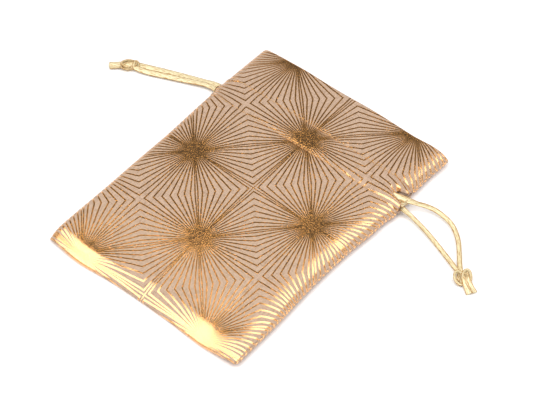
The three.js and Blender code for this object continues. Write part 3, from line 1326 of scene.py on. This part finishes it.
    def on_arc(self, outer: Vector, inner: Vector, angle: float, y: float) -> Vector:
        """Place a point of a half turn between two faces.

        Args:
            outer: Where the turn leaves the first face, at a quarter turn.
            inner: Where it meets the second face, at minus a quarter turn.
            angle: Angle round the turn.
            y: Place along the pouch.

        Returns:
            The point, in millimetres.
        """
        middle = (outer + inner) / 2
        arm = (outer - inner) / 2 * math.sin(angle)
        return Vector((middle.x + arm.x, y, middle.z + arm.z))

    def build(self, printed: bpy.types.Material, plain: bpy.types.Material) -> bpy.types.Object:
        """Build the folded cloth.

        Args:
            printed: Material of the printed face.
            plain: Material of the inner face.

        Returns:
            The cloth's object.
        """
        places = self.row_places()
        rows = len(places) - 1
        work = bmesh.new()
        uv_layer = work.loops.layers.uv.new(CLOTH_UV)
        bmesh.ops.create_grid(work, x_segments=self.columns, y_segments=rows, size=1.0)
        flat: dict[int, tuple[float, float]] = {}
        for vertex in work.verts:
            u = self.spread(clamp(vertex.co.x, -1.0, 1.0))
            s = places[round((1 - vertex.co.y) / 2 * rows)]
            flat[vertex.index] = (u * self.form.sizes.half_width * MM, self.cut_place(s) * MM)
            vertex.co = self.place(u, s) * MM
        for face in work.faces:
            face.smooth = True
            for loop in face.loops:
                loop[uv_layer].uv = flat[loop.vert.index]
        mesh = bpy.data.meshes.new("pouch_cloth_folded")
        work.to_mesh(mesh)
        work.free()
        piece = finished_object("pouch_cloth_folded", mesh, (printed, plain))
        solidify = piece.modifiers.new("cloth_thickness", "SOLIDIFY")
        solidify.thickness = self.wall * MM
        solidify.offset = -1.0
        solidify.material_offset = 1
        solidify.material_offset_rim = 1
        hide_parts("pouch_cloth")
        return piece

    def cut_place(self, s: float) -> float:
        """Place in the flat cut, less the cloth that the swell above the bottom takes up."""
        share = smoothstep(s, self.fold_start - self.swell_length, self.fold_start)
        return self.level_zero - s - self.taken_up * share


@dataclass
class StitchRow:
    """One row of lockstitches through the casing, in millimetres."""

    form: PouchForm
    front: bool
    y: float
    pitch: float = 2.4
    cover: float = 0.84
    end_margin: float = 2.0
    stand: float = 0.3
    dive: float = 0.55
    slimmest: float = 0.12
    sides: int = 8
    cuts: int = 5

    def height(self, x: float) -> float:
        """Height of the cloth's outer face below the row.

        Args:
            x: Place along the row.

        Returns:
            The height over the table.
        """
        u = x / self.form.sizes.half_width
        if self.front:
            return self.form.front_outer(u, self.y) + self.form.relief.gathers(u, self.y)
        return self.form.back_outer(u, self.y)

    def add_stitch(self, work: bmesh.types.BMesh, middle: float) -> None:
        """Add one stitch, a short padded roll that dives into the cloth at both ends.

        Args:
            work: The row's bmesh.
            middle: Place of the stitch along the row.
        """
        thread = self.form.sizes.thread
        outward = thread if self.front else -thread
        half = self.pitch * self.cover / 2
        first = len(work.verts)
        made = bmesh.ops.create_cone(
            work,
            cap_ends=True,
            segments=self.sides,
            radius1=thread / 2,
            radius2=thread / 2,
            depth=2 * half,
            matrix=Matrix.Rotation(math.pi / 2, 4, "Y"),
        )
        ring = {edge for vertex in made["verts"] for edge in vertex.link_edges}
        long_edges = [edge for edge in ring if abs(edge.verts[0].co.x - edge.verts[1].co.x) > half]
        bmesh.ops.subdivide_edges(work, edges=long_edges, cuts=self.cuts)
        work.verts.ensure_lookup_table()
        for vertex in work.verts[first:]:
            t = vertex.co.x / half
            slim = math.sqrt(max(self.slimmest, 1 - t**4))
            x = middle + vertex.co.x
            z = self.height(x) + outward * (self.stand - self.dive * t**4) + vertex.co.z * slim
            vertex.co = Vector((x, self.y + vertex.co.y * slim, z)) * MM

    def build(self, name: str, node: str, thread: bpy.types.Material) -> bpy.types.Object:
        """Build the row of stitches.

        Args:
            name: Name of the piece.
            node: The solid that it replaces.
            thread: Material of the thread.

        Returns:
            The row's object.
        """
        work = bmesh.new()
        reach = self.form.sizes.half_width - self.end_margin
        for i in range(int(2 * reach / self.pitch)):
            self.add_stitch(work, -reach + (i + 0.5) * self.pitch)
        for face in work.faces:
            face.smooth = True
        bmesh.ops.recalc_face_normals(work, faces=work.faces)
        mesh = bpy.data.meshes.new(name)
        work.to_mesh(mesh)
        work.free()
        piece = finished_object(name, mesh, (thread,))
        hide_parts(node)
        return piece


@dataclass(frozen=True)
class RouteKey:
    """One key point of a ribbon's route, with the direction of its width."""

    x: float
    y: float
    z: float
    across: Point = (0.0, 1.0, 0.0)

    @property
    def at(self) -> Vector:
        """The point."""
        return Vector((self.x, self.y, self.z))


def smooth_route(keys: Sequence[RouteKey], steps: int) -> tuple[list[Vector], list[Vector]]:
    """Lay a smooth line through key points.

    Args:
        keys: The key points.
        steps: Steps between two neighbouring keys.

    Returns:
        The points of the line and the width direction at each.
    """
    points: list[Vector] = []
    widths: list[Vector] = []
    places = [key.at for key in keys]
    for k in range(len(keys) - 1):
        before = places[max(k - 1, 0)]
        after = places[min(k + 2, len(keys) - 1)]
        a, b = places[k], places[k + 1]
        span = (b - a).length
        lead_a = (b - before).normalized() * span
        lead_b = (after - a).normalized() * span
        last = k == len(keys) - 2
        for i in range(steps + (1 if last else 0)):
            t = i / steps
            h = (2 * t**3 - 3 * t**2 + 1, t**3 - 2 * t**2 + t, 3 * t**2 - 2 * t**3, t**3 - t**2)
            points.append(a * h[0] + lead_a * h[1] + b * h[2] + lead_b * h[3])
            widths.append(Vector(keys[k].across).lerp(Vector(keys[k + 1].across), t))
    return points, widths


@dataclass
class RibbonBand:
    """A flat satin ribbon along a route, a little cupped across its width."""

    width: float = 3.0
    thickness: float = 0.26
    cup: float = 0.35
    across_steps: int = 8
    woven_width: float = 3.0

    def mesh(
        self,
        name: str,
        points: Sequence[Vector],
        widths: Sequence[Vector],
        start: float = 0.0,
        narrowing: Callable[[float], float] = lambda _: 1.0,
    ) -> bpy.types.Mesh:
        """Make the band's mesh with its thickness.

        Args:
            name: Name of the mesh.
            points: Points of the route, in millimetres.
            widths: Width direction at each point.
            start: Length of ribbon before the first point, for the weave's place.
            narrowing: Share of the full width at a place from 0 to 1 along the route.

        Returns:
            The closed mesh, in metres.
        """
        work = bmesh.new()
        uv_layer = work.loops.layers.uv.new(RIBBON_UV)
        along_steps = len(points) - 1
        bmesh.ops.create_grid(work, x_segments=self.across_steps, y_segments=along_steps, size=1.0)
        lengths = [start]
        for a, b in zip(points, points[1:]):
            lengths.append(lengths[-1] + (b - a).length)
        flat: dict[int, tuple[float, float]] = {}
        for vertex in work.verts:
            w = vertex.co.x
            i = round((vertex.co.y + 1) / 2 * along_steps)
            before = points[max(i - 1, 0)]
            after = points[min(i + 1, along_steps)]
            tangent = (after - before).normalized()
            across = (widths[i] - tangent * widths[i].dot(tangent)).normalized()
            normal = across.cross(tangent)
            half = self.width / 2 * narrowing(i / along_steps)
            flat[vertex.index] = (w * self.woven_width / 2 * MM, lengths[i] * MM)
            lift = self.cup * (0.5 - w * w)
            vertex.co = (points[i] + across * (w * half) + normal * lift) * MM
        for face in work.faces:
            face.smooth = True
            for loop in face.loops:
                loop[uv_layer].uv = flat[loop.vert.index]
        self.thicken(work)
        mesh = bpy.data.meshes.new(name)
        work.to_mesh(mesh)
        work.free()
        return mesh

    def thicken(self, work: bmesh.types.BMesh) -> None:
        """Give the band its thickness, half on each side of the route.

        Args:
            work: The flat band's bmesh.
        """
        work.normal_update()
        for vertex in work.verts:
            vertex.co += vertex.normal * (self.thickness / 2 * MM)
        bmesh.ops.solidify(work, geom=work.faces[:], thickness=self.thickness * MM)


@dataclass
class KnotLoop:
    """One loop of the ribbon in a knot, standing tilted on the table; its angles in radians."""

    centre: Point
    reach: float
    rise: float
    lean: float
    flare: float = 0.3
    band: RibbonBand = field(
        default_factory=lambda: RibbonBand(width=1.9, thickness=0.34, cup=0.3, woven_width=2.7),
    )
    azimuth: float = math.radians(42.0)
    tilt: float = math.radians(52.0)
    start: float = math.radians(-100.0)
    sweep: float = math.radians(380.0)
    pass_by: float = 0.35
    steps: int = 40

    def route(self) -> tuple[list[Vector], list[Vector]]:
        """Lay the ribbon once round the loop, its end beside its start.

        Returns:
            The points and the width directions.
        """
        across = Vector((math.cos(self.azimuth), math.sin(self.azimuth), 0.0))
        away = Vector((-math.sin(self.azimuth), math.cos(self.azimuth), 0.0))
        up = away * math.sin(self.tilt) + Vector((0.0, 0.0, math.cos(self.tilt)))
        axis = across.cross(up)
        long = up * math.cos(self.lean) + across * math.sin(self.lean)
        short = across * math.cos(self.lean) - up * math.sin(self.lean)
        points: list[Vector] = []
        widths: list[Vector] = []
        for i in range(self.steps + 1):
            share = i / self.steps
            t = self.start + self.sweep * share
            outward = short * (self.reach * math.cos(t)) + long * (self.rise * math.sin(t))
            aside = axis * lerp(-self.pass_by, self.pass_by, share)
            points.append(Vector(self.centre) + outward + aside)
            widths.append(axis * (1 - self.flare) + outward.normalized() * self.flare)
        return points, widths


@dataclass
class Drawstring:
    """One satin drawstring: two free strands, the hidden run in the casing, a knot and tails."""

    form: PouchForm
    side: Side
    front_strand: Sequence[RouteKey]
    back_strand: Sequence[RouteKey]
    front_lane: float
    back_lane: float
    front_exit: Sequence[RouteKey]
    back_exit: Sequence[RouteKey]
    loops: Sequence[KnotLoop]
    tails: Sequence[Sequence[RouteKey]]
    band: RibbonBand = field(default_factory=RibbonBand)
    turn_reach: float = 0.9
    showing: float = 0.76
    curl_start: float = 0.15
    curl_end: float = 0.35
    strand_steps: int = 6
    hidden_steps: int = 8
    near_stops: tuple[float, ...] = (0.7, 0.4, 0.1)
    far_stops: tuple[float, ...] = (0.2, 0.5, 0.8, 1.0)

    @property
    def label(self) -> str:
        """Word for the side that the drawstring leaves from."""
        return self.side.name.lower()

    @property
    def node(self) -> str:
        """The solid that the drawstring's pieces replace."""
        return f"drawstring_{self.label}"

    def lane_key(self, front: bool, u: float, lane: float) -> RouteKey:
        """Key point inside a casing.

        Args:
            front: Whether it is the front casing.
            u: Place between the side seams, from -1 to 1.
            lane: Distance from the casing's middle line.

        Returns:
            The key point.
        """
        sizes = self.form.sizes
        y = sizes.casing_middle + lane
        return RouteKey(u * sizes.half_width, y, self.form.tunnel_height(front, u, y))

    def declare(self) -> None:
        """Hide the solid that the drawstring's pieces replace."""
        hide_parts(self.node)

    def strand(
        self,
        front: bool,
        satin: bpy.types.Material,
    ) -> bpy.types.Object:
        """Args:
            front: Whether it leaves the front casing.
            satin: Material of the ribbon.

        Returns:
            The strand's object.
        """
        leaving = self.front_exit if front else self.back_exit
        outside = self.front_strand if front else self.back_strand
        points, widths = smooth_route([*leaving, *outside], self.strand_steps)
        name = f"ribbon_{self.label}_{'front' if front else 'back'}"
        mesh = self.band.mesh(name, points, widths, narrowing=self.curl)
        piece = finished_object(name, mesh, (satin,))
        self.declare()
        return piece

    def hidden_run(self, satin: bpy.types.Material) -> bpy.types.Object:
        """Build the run in the front casing, round the far seam and back through the back casing.

        Args:
            satin: Material of the ribbon.

        Returns:
            The run's object.
        """
        far = -self.side.value
        stops = [-far * u for u in self.near_stops] + [far * u for u in self.far_stops]
        out = [self.front_exit[0]]
        out += [self.lane_key(True, u, self.front_lane) for u in stops]
        back = [self.lane_key(False, u, self.back_lane) for u in reversed(stops)]
        back.append(self.back_exit[0])
        top, bottom = out[-1], back[0]
        slope = (bottom.at - top.at).normalized()
        width = Vector((0.0, -slope.z, slope.y)) * math.copysign(1.0, -slope.z)
        middle = (top.at + bottom.at) / 2
        reach = self.form.outline(far, middle.y) + self.turn_reach
        apex = RouteKey(far * reach, middle.y, middle.z, tuple(width))
        points, widths = smooth_route([*out, apex, *back], self.hidden_steps)
        name = f"ribbon_{self.label}_in_casing"
        piece = finished_object(name, self.band.mesh(name, points, widths), (satin,))
        self.declare()
        return piece

    def curl(self, t: float) -> float:
        """Share of the ribbon's width that shows, as its edges curl in away from the pouch."""
        return lerp(1.0, self.showing, smoothstep(t, self.curl_start, self.curl_end))

    def knot(self, satin: bpy.types.Material) -> bpy.types.Object:
        """Build the knot from its loops and its two tails.

        Args:
            satin: Material of the ribbon.

        Returns:
            The knot's object.
        """
        name = f"ribbon_{self.label}_knot"
        work = bmesh.new()
        routes = [(loop.band, loop.route()) for loop in self.loops]
        routes += [(self.band, smooth_route(tail, self.strand_steps)) for tail in self.tails]
        for band, (points, widths) in routes:
            mesh = band.mesh(name, points, widths)
            work.from_mesh(mesh)
            bpy.data.meshes.remove(mesh)
        mesh = bpy.data.meshes.new(name)
        work.to_mesh(mesh)
        work.free()
        piece = finished_object(name, mesh, (satin,))
        self.declare()
        return piece

    def build(self, satin: bpy.types.Material) -> list[bpy.types.Object]:
        """Build every piece of the drawstring.

        Args:
            satin: Material of the ribbon.

        Returns:
            The knot, the front and the back strand and the hidden run.
        """
        knot = self.knot(satin)
        front = self.strand(True, satin)
        back = self.strand(False, satin)
        return [knot, front, back, self.hidden_run(satin)]


@dataclass(frozen=True)
class StudioCamera:
    """Camera at the photograph's viewing angle; lengths in millimetres, angles in degrees."""

    azimuth: float = 42.0
    elevation: float = 50.4
    distance: float = 986.9
    target: Point = (4.1, 5.6, 0.0)
    roll: float = -2.0
    lens: float = 135.1
    sensor: float = 36.0
    clip_start: float = 50.0
    clip_end: float = 20000.0

    def build(self) -> None:
        """Make the camera and set it as the scene's."""
        turn = math.radians(self.azimuth)
        rise = math.radians(self.elevation)
        level = math.cos(rise)
        ahead = Vector((-math.sin(turn) * level, math.cos(turn) * level, -math.sin(rise)))
        right = ahead.cross(Vector((0.0, 0.0, 1.0))).normalized()
        up = right.cross(ahead)
        tilt = math.radians(self.roll)
        across = right * math.cos(tilt) + up * math.sin(tilt)
        upright = up * math.cos(tilt) - right * math.sin(tilt)
        data = bpy.data.cameras.new("studio_camera")
        data.lens = self.lens
        data.sensor_width = self.sensor
        data.sensor_fit = "HORIZONTAL"
        data.clip_start = self.clip_start * MM
        data.clip_end = self.clip_end * MM
        camera = bpy.data.objects.new("studio_camera", data)
        bpy.context.scene.collection.objects.link(camera)
        axes = Matrix((across, upright, -ahead)).transposed()
        place = (Vector(self.target) - ahead * self.distance) * MM
        camera.matrix_world = Matrix.Translation(place) @ axes.to_4x4()
        bpy.context.scene.camera = camera


@dataclass(frozen=True)
class Softbox:
    """One rectangular studio light; sizes and place in metres, its turn in degrees."""

    name: str
    at: Point
    width: float
    depth: float
    power: float
    turn: float
    colour: tuple[float, float, float] = (1.0, 0.985, 0.965)

    def build(self) -> None:
        """Hang the light so that it faces straight down."""
        data = bpy.data.lights.new(self.name, "AREA")
        data.shape = "RECTANGLE"
        data.size = self.width
        data.size_y = self.depth
        data.energy = self.power
        data.color = self.colour
        lamp = bpy.data.objects.new(self.name, data)
        bpy.context.scene.collection.objects.link(lamp)
        lamp.location = self.at
        lamp.rotation_euler = (0.0, 0.0, math.radians(self.turn))


@dataclass(frozen=True)
class Studio:
    """Pale table, its side in metres, and a surrounding, light near the horizon and dim above."""

    table: float = 6.0
    horizon: float = 0.75
    horizon_top: float = 0.25
    sky: float = 0.07
    sky_start: float = 0.7
    lights: tuple[Softbox, ...] = (
        Softbox("overhead_softbox", (0.16, -0.18, 1.0), 2.5, 1.12, 28.5, 42.0),
    )

    def build(self) -> None:
        """Set the table, the lights and the surrounding."""
        work = bmesh.new()
        bmesh.ops.create_grid(work, x_segments=1, y_segments=1, size=self.table / 2)
        mesh = bpy.data.meshes.new("table_top")
        work.to_mesh(mesh)
        work.free()
        table = bpy.data.objects.new("table_top", mesh)
        bpy.context.scene.collection.objects.link(table)
        mesh.materials.append(PaleTable().build())
        for light in self.lights:
            light.build()
        self.build_surrounding()
        bpy.context.scene.view_settings.view_transform = "Standard"

    def build_surrounding(self) -> None:
        """Make the world: light near the horizon, dim higher up."""
        world = bpy.data.worlds.new("studio_surrounding")
        bpy.context.scene.world = world
        world.use_nodes = True
        tree = world.node_tree
        tree.nodes.clear()
        place = tree.nodes.new("ShaderNodeTexCoord")
        parts = tree.nodes.new("ShaderNodeSeparateXYZ")
        fade = tree.nodes.new("ShaderNodeMapRange")
        fade.interpolation_type = "SMOOTHSTEP"
        fade.inputs["From Min"].default_value = self.horizon_top
        fade.inputs["From Max"].default_value = self.sky_start
        fade.inputs["To Min"].default_value = self.horizon
        fade.inputs["To Max"].default_value = self.sky
        back = tree.nodes.new("ShaderNodeBackground")
        out = tree.nodes.new("ShaderNodeOutputWorld")
        tree.links.new(place.outputs["Generated"], parts.inputs[0])
        tree.links.new(parts.outputs["Z"], fade.inputs["Value"])
        tree.links.new(fade.outputs["Result"], back.inputs["Strength"])
        tree.links.new(back.outputs[0], out.inputs["Surface"])


def right_drawstring(form: PouchForm) -> Drawstring:
    """Lay out the drawstring that leaves on the right, along the route of its solid.

    Args:
        form: The pouch that it is drawn through.

    Returns:
        The drawstring.
    """
    front_exit = (
        RouteKey(53.4, 42.5, 7.7),
        RouteKey(56.8, 43.8, 7.1, (-0.1, 0.9, 0.4)),
        RouteKey(60.2, 45.3, 6.1, (-0.1, 0.8, 0.6)),
    )
    front_strand = (
        RouteKey(62.8, 46.5, 5.5, (-0.2, 0.7, 0.7)),
        RouteKey(65.5, 47.8, 4.8, (-0.3, 0.5, 0.9)),
        RouteKey(69.1, 49.7, 4.0, (-0.2, 0.6, 0.8)),
        RouteKey(74.7, 51.2, 3.0, (0.0, 1.0, 0.5)),
        RouteKey(84.2, 49.9, 2.2, (0.4, 1.0, 0.3)),
        RouteKey(92.0, 44.9, 2.0, (0.8, 1.0, 0.4)),
        RouteKey(97.7, 38.7, 1.8, (1.0, 0.8, 0.3)),
        RouteKey(102.7, 32.4, 2.0, (1.0, 0.6, 0.2)),
        RouteKey(107.2, 27.8, 2.4, (1.0, 0.5, 0.0)),
    )
    back_exit = (RouteKey(54.0, 41.5, 3.2), RouteKey(60.0, 41.5, 3.6))
    back_strand = (
        RouteKey(63.4, 41.1, 3.3),
        RouteKey(66.7, 40.9, 2.8),
        RouteKey(76.9, 38.7, 2.0, (0.3, 1.0, 0.0)),
        RouteKey(84.4, 36.4, 1.6, (0.4, 1.0, 0.2)),
        RouteKey(94.3, 32.8, 1.5, (0.4, 1.0, 0.3)),
        RouteKey(102.0, 29.7, 1.8, (0.5, 1.0, 0.2)),
        RouteKey(106.8, 27.6, 2.1, (0.5, 1.0, 0.0)),
    )
    tails = (
        (
            RouteKey(106.4, 27.4, 2.7, (1.0, 0.8, 0.3)),
            RouteKey(107.9, 25.6, 2.7, (1.0, 1.0, 0.5)),
            RouteKey(110.2, 25.4, 2.5, (0.5, 1.0, 0.5)),
            RouteKey(113.4, 23.9, 1.6, (0.5, 1.0, 0.2)),
            RouteKey(116.2, 22.0, 1.0, (0.6, 1.0, 0.4)),
        ),
        (
            RouteKey(107.9, 29.4, 3.7, (0.8, 0.6, 0.6)),
            RouteKey(110.8, 27.3, 2.9, (0.6, 1.0, 0.4)),
            RouteKey(114.6, 25.4, 1.6, (0.4, 1.0, -0.2)),
            RouteKey(117.8, 24.3, 1.1, (0.4, 1.0, -0.5)),
        ),
    )
    loops = (
        KnotLoop((107.6, 25.4, 3.0), reach=2.0, rise=3.2, lean=-0.34, flare=0.5),
        KnotLoop((110.2, 27.8, 3.1), reach=1.9, rise=3.5, lean=0.1, flare=0.5),
        KnotLoop((109.0, 26.6, 2.6), reach=1.5, rise=2.2, lean=0.2),
    )
    return Drawstring(
        form,
        Side.RIGHT,
        front_strand=front_strand,
        back_strand=back_strand,
        front_lane=form.sizes.lane_offset,
        back_lane=-form.sizes.lane_offset,
        front_exit=front_exit,
        back_exit=back_exit,
        loops=loops,
        tails=tails,
    )


def left_drawstring(form: PouchForm) -> Drawstring:
    """Lay out the drawstring that leaves on the left, along the route of its solid.

    Args:
        form: The pouch that it is drawn through.

    Returns:
        The drawstring.
    """
    front_exit = (
        RouteKey(-54.0, 43.3, 5.7),
        RouteKey(-58.4, 43.4, 4.3),
        RouteKey(-61.8, 43.6, 2.5),
    )
    front_strand = (
        RouteKey(-65.4, 43.9, 2.3, (-0.2, 1.0, 0.0)),
        RouteKey(-69.8, 42.9, 2.4, (-0.3, 1.0, 0.0)),
        RouteKey(-79.9, 38.9, 1.9, (-0.4, 1.0, 0.2)),
        RouteKey(-91.8, 33.9, 1.8, (-0.4, 1.0, 0.4)),
        RouteKey(-97.4, 31.5, 1.8, (-0.4, 1.0, 0.4)),
        RouteKey(-103.3, 29.6, 1.9, (-0.4, 1.0, 0.3)),
        RouteKey(-108.2, 28.6, 2.2, (-0.4, 1.0, 0.0)),
    )
    back_exit = (RouteKey(-54.0, 47.5, 1.7), RouteKey(-61.0, 47.5, 1.8))
    back_strand = (
        RouteKey(-67.2, 46.5, 1.8, (-0.2, 1.0, 0.0)),
        RouteKey(-71.4, 45.1, 1.5, (-0.3, 1.0, 0.0)),
        RouteKey(-79.9, 42.6, 1.0, (-0.4, 1.0, 0.0)),
        RouteKey(-92.7, 37.8, 1.0, (-0.4, 1.0, 0.1)),
        RouteKey(-99.8, 34.6, 1.3, (-0.4, 1.0, 0.2)),
        RouteKey(-105.2, 32.1, 1.7, (-0.4, 1.0, 0.2)),
        RouteKey(-108.8, 30.2, 2.1, (-0.4, 1.0, 0.0)),
    )
    tails = (
        (
            RouteKey(-106.8, 29.5, 2.9, (-0.4, 1.0, 0.5)),
            RouteKey(-109.6, 28.5, 3.0, (-0.4, 1.0, 0.5)),
            RouteKey(-112.2, 27.0, 2.4, (-0.5, 1.0, 0.2)),
            RouteKey(-115.6, 24.6, 1.6, (-0.5, 1.0, 0.3)),
            RouteKey(-118.6, 22.6, 1.0, (-0.6, 1.0, 0.5)),
        ),
        (
            RouteKey(-106.8, 28.6, 1.9, (-0.4, 1.0, 0.3)),
            RouteKey(-109.6, 27.2, 1.9, (-0.4, 1.0, 0.3)),
            RouteKey(-112.2, 26.0, 1.7, (-0.5, 1.0, 0.0)),
            RouteKey(-114.8, 23.8, 1.3, (-0.6, 1.0, -0.2)),
            RouteKey(-117.2, 21.6, 0.9, (-0.6, 1.0, -0.3)),
        ),
    )
    loops = (
        KnotLoop((-109.6, 28.4, 3.1), reach=3.8, rise=1.7, lean=0.05),
        KnotLoop((-109.3, 27.3, 2.1), reach=3.6, rise=1.6, lean=0.05),
        KnotLoop((-106.2, 30.2, 2.5), reach=1.4, rise=2.2, lean=0.0),
    )
    return Drawstring(
        form,
        Side.LEFT,
        front_strand=front_strand,
        back_strand=back_strand,
        front_lane=-form.sizes.lane_offset,
        back_lane=form.sizes.lane_offset,
        front_exit=front_exit,
        back_exit=back_exit,
        loops=loops,
        tails=tails,
        showing=1.0,
    )


def pouch_sizes() -> PouchSizes:
    """Read the pouch's width and height from the frame.

    Returns:
        The driving sizes.
    """
    low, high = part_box("pouch_cloth")
    return PouchSizes(width=(high[0] - low[0]) / MM, height=(high[1] - low[1]) / MM)


def main() -> None:
    """Build the dressed pouch and its studio."""
    logging.basicConfig(level=logging.INFO, format="%(name)s %(message)s")
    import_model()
    sizes = pouch_sizes()
    form = PouchForm(sizes, ClothRelief(sizes))
    StudioCamera().build()
    satin = SatinRibbon().build()
    Studio().build()
    pieces: list[bpy.types.Object] = []
    for drawstring in (left_drawstring(form), right_drawstring(form)):
        pieces += drawstring.build(satin)
    pieces.append(ClothBag(form).build(PrintedCloth().build(), PlainCloth().build()))
    thread = SewingThread().build()
    for word, y in (("upper", sizes.upper_row), ("lower", sizes.lower_row)):
        for front in (True, False):
            face = "front" if front else "back"
            row = StitchRow(form, front, y)
            node = f"casing_stitch_{face}_{word}"
            pieces.append(row.build(f"stitches_{face}_{word}", node, thread))
    for piece in pieces:
        LOG.info("%s: %d faces", piece.name, len(piece.data.polygons))


if __name__ == "__main__":
    main()
